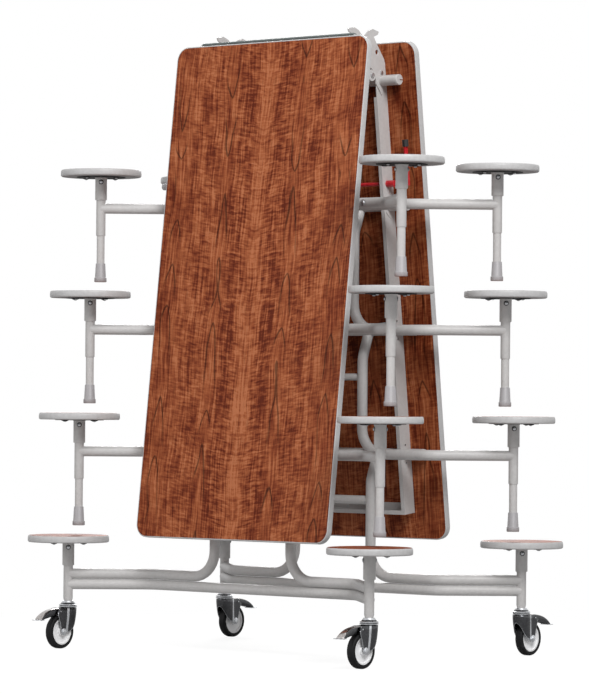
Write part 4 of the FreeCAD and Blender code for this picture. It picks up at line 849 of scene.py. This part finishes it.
def horn():
    """Rows from the lower ends to the top.  Height runs evenly between them; the place in plan leaves
    the lower end quickly and reaches the top's outline early, as one less a power of the rest, so the
    horn stays round below the race and narrows towards the axle."""
    both_low = np.concatenate([horn_low, horn_low[-2::-1] * (1, -1, 1)])
    both_top = np.concatenate([horn_top, horn_top[-2::-1] * (1, -1, 1)])
    share = np.array([0.0, 0.03, 0.12, 0.25, 0.40, 0.55, 0.70, 0.85, 1.0])[:, None, None]
    grid = both_low + (both_top - both_low) * share
    grid[..., :2] = (both_low + (both_top - both_low) * (1 - (1 - share) ** 1.8))[..., :2]
    return grid


def pedal_hood(rows=18):
    """A pressed hood carried from the pin to the toe.  Its crest is a cubic Bezier curve of four guide
    points, as (behind the swivel, above the floor) in millimetres; at each row the section is a skirt,
    a rounded shoulder and a crown 1 mm high, and the skirt's depth and the half width are powers of the
    share of the way along."""
    share = np.linspace(0, 1, rows)[:, None]
    guides = np.array([(51, 149.6), (100, 150.6), (140, 139), (158.5, 110.8)]) / 1000
    weights = np.hstack([(1 - share) ** 3, 3 * share * (1 - share) ** 2, 3 * share ** 2 * (1 - share),
                         share ** 3])
    crest = weights @ guides
    wide = 0.013 + 0.005 * share ** 2
    deep = 0.003 + 0.015 * (1 - share) ** 0.5 + 0.052 * share * (1 - share) ** 1.4
    side = np.array([-1.0, -0.55, -0.16, -0.05, 0.0, 0.0])
    inward = np.array([0.0, 0.0, 0.0, 0.0008, 0.0026, 0.0075])
    crown = np.array([0.0, 0.0, 0.0, 0.0, 0.0004, 0.0009])
    left = np.stack([crest[:, :1] + 0 * side, wide - inward,
                     crest[:, 1:] + side * deep + crown - crown[-1]], axis=-1)
    top = np.stack([crest[:, :1], 0 * wide, crest[:, 1:]], axis=-1)
    return np.concatenate([left, top, left[:, ::-1] * (1, -1, 1)], axis=1)


def toe_plate():
    """A flat plate across the hood's end: its outline in section is a rounded oblong, each coordinate
    a quarter power of the circle's, and it is drawn in a little at both ends."""
    turn = np.linspace(0, 2 * math.pi, 24, endpoint=False)
    reach = np.array([0.93, 1.0, 1.0, 0.93])[:, None]
    along = np.array([0.1435, 0.1445, 0.1715, 0.1728])[:, None]
    oblong_y = np.sign(np.cos(turn)) * np.abs(np.cos(turn)) ** 0.25
    oblong_z = np.sign(np.sin(turn)) * np.abs(np.sin(turn)) ** 0.25
    return np.stack([along + 0 * turn, toe_half_width * reach * oblong_y,
                     toe_height + toe_half_thickness * reach * oblong_z], axis=-1)


for half in HALVES:
    for side in SIDES:
        name = "%s_%s" % (half, side)
        fork = knit(on_caster([(horn(), "sheet")], half, side), "fork_" + name, dark_zinc_and_painted_shade, sharp=60)
        # The fork's lower edge is bright, and one strip up each cheek is a painted highlight on its bend.
        row, station = np.divmod(np.arange(len(fork.data.polygons)), 2 * len(horn_low) - 2)
        mirror_station = 2 * len(horn_low) - 3 - painted_highlight_station
        edge_and_highlight_faces = (row == 0) | (station == painted_highlight_station) | (station == mirror_station)
        second_finish(fork, bright_zinc, edge_and_highlight_faces)
        thicken(fork, fork_sheet)

        axle = straight_bar((axle_trail, -axle_reach, wheel_radius), (axle_trail, axle_reach, wheel_radius),
                            axle_radius)
        stem = straight_bar((0, 0, stem_bottom), (0, 0, stem_top), stem_radius)
        fittings = [(turned(race_profile, (0, 0, 0), race_columns), "closed"), (stem, "closed"),
                    (axle, "closed")]
        for way in (1, -1):
            washer = np.array([axle_trail, way * washer_at, wheel_radius])
            for reaches, radii, columns in axle_end:
                path = washer + np.outer(reaches, (0, way, 0))
                fittings.append((round_bar(path, radii, columns), "closed"))
        race = knit(on_caster(fittings, half, side), "race_" + name, bright_zinc, sharp=35)
        band = np.arange(len(race.data.polygons)) // race_columns
        # The groove and the chamfer take the dark finish as painted shade.
        second_finish(race, dark_zinc_and_painted_shade, np.isin(band, painted_shade_bands))
        for piece in (fork, race):
            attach(piece, "caster_" + name)
            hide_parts("caster_fork_" + name)

        for part, profile, finish, slot in (("tyre", tyre_profile, rubber, "tyre_rubber"),
                                            ("hub", hub_profile, hub_grey, "hub_plastic")):
            round_part = knit(on_caster([(wheel_turned(profile), "ring")], half, side),
                              "%s_%s" % (part, name), finish, sharp=35)
            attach(round_part, "wheel_" + name)
            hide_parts("caster_%s_%s" % (part, name))

        pedal = knit(on_caster([(pedal_hood(), "sheet")], half, side), "pedal_" + name, chrome, sharp=60)
        # The hood's skirts are darkened with the dark sheet's finish as painted shade; its crown is bright.
        column = np.arange(len(pedal.data.polygons)) % hood_columns
        second_finish(pedal, dark_zinc_and_painted_shade, (column < skirt_columns) | (column >= hood_columns - skirt_columns))
        thicken(pedal, pedal_sheet)
        pin = straight_bar((pin_behind, -pin_reach, pin_height), (pin_behind, pin_reach, pin_height),
                           pin_radius, 0.0008)
        toe = knit(on_caster([(toe_plate(), "closed"), (pin, "closed")], half, side), "toe_" + name,
                   bright_zinc, sharp=35)
        for piece in (pedal, toe):
            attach(piece, "pedal_" + name)
            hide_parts("caster_pedal_" + name)

# -------------------- studio
# A pale floor that keeps the table's shadow, a white surround seen by the camera and in reflections,
# large soft lamps, and a long lens a little below the middle of the table.
world = bpy.data.worlds.new("white_surround")
bpy.context.scene.world = world
world.use_nodes = True
sky = world.node_tree
sky.nodes.clear()
ray = add(sky, "ShaderNodeLightPath")
seen = add(sky, "ShaderNodeMath", {0: ray.outputs["Is Camera Ray"], 1: ray.outputs["Is Glossy Ray"]},
           operation="MAXIMUM")
seen = add(sky, "ShaderNodeMath", {0: seen, 1: ray.outputs["Is Transmission Ray"]}, operation="MAXIMUM")
white = add(sky, "ShaderNodeBackground", {"Color": (1, 1, 1, 1), "Strength": 1.0})
dim = add(sky, "ShaderNodeBackground", {"Color": (1, 1, 1, 1), "Strength": 0.33})
add(sky, "ShaderNodeOutputWorld", {0: add(sky, "ShaderNodeMixShader", {0: seen, 1: dim, 2: white})})

floor_reach, floor_drop = 40, 0.0005
floor_mesh = bpy.data.meshes.new("studio_floor")
corners = [(x * floor_reach, y * floor_reach, -floor_drop) for x, y in ((-1, -1), (1, -1), (1, 1), (-1, 1))]
floor_mesh.from_pydata(corners, [], [(0, 1, 2, 3)])
floor = bpy.data.objects.new("studio_floor", floor_mesh)
bpy.context.scene.collection.objects.link(floor)
paper, tree = new_finish("pale_floor")
ray = add(tree, "ShaderNodeLightPath")
distance = add(tree, "ShaderNodeVectorMath", {0: add(tree, "ShaderNodeTexCoord").outputs["Object"]},
               operation="LENGTH")
far = add(tree, "ShaderNodeMapRange", {"Value": distance.outputs["Value"], "From Min": 1.0, "From Max": 2.4,
                                       "To Min": 0.7, "To Max": 1.0})
strength = add(tree, "ShaderNodeMapRange", {"Value": far, "From Min": 0.7, "To Min": 1.27, "To Max": 1.0})
glow = add(tree, "ShaderNodeEmission", {"Color": (1, 1, 1, 1), "Strength": strength})
matt = add(tree, "ShaderNodeBsdfPrincipled", {"Base Color": linear("#b8b8b8"), "Roughness": 0.9})
faded = add(tree, "ShaderNodeMath", {0: far, 1: ray.outputs["Is Camera Ray"]}, operation="MULTIPLY")
blend = add(tree, "ShaderNodeMixShader", {0: faded, 1: matt, 2: glow})
add(tree, "ShaderNodeOutputMaterial", {"Surface": blend})
floor_mesh.materials.append(paper)


def soft_lamp(name, place, aim, size, power):
    """A square lamp that points from its place to its aim."""
    lamp = bpy.data.lights.new(name, "AREA")
    lamp.size = size
    lamp.energy = power
    holder = bpy.data.objects.new(name, lamp)
    holder.location = place
    way = np.subtract(aim, place)
    tilt = math.atan2(math.hypot(way[0], way[1]), -way[2])
    holder.rotation_euler = (tilt, 0, math.atan2(way[1], way[0]) - math.pi / 2)
    bpy.context.scene.collection.objects.link(holder)


soft_lamp("key_lamp", (-3.7, -5.3, 6.1), (0, 0, 1.1), 3.0, 520)
soft_lamp("side_lamp", (-6.0, 2.0, 2.6), (0, 0, 1.1), 2.4, 75)
soft_lamp("top_lamp", (0.5, 0.5, 6.0), (0, 0, 1.0), 3.0, 40)
soft_lamp("rear_lamp", (5.4, 4.6, 4.2), (0, 0, 1.0), 2.4, 260)

lens = bpy.data.cameras.new("studio_camera")
lens.sensor_fit = "HORIZONTAL"
lens.sensor_width = 36
lens.lens = 226.75
lens.shift_y = 0.0832
camera = bpy.data.objects.new("studio_camera", lens)
camera.location = (-10.440, -8.787, 0.941)
camera.rotation_euler = (math.radians(90), math.radians(-0.437), math.radians(-49.92))
bpy.context.scene.collection.objects.link(camera)
bpy.context.scene.camera = camera
bpy.context.scene.view_settings.view_transform = "Standard"
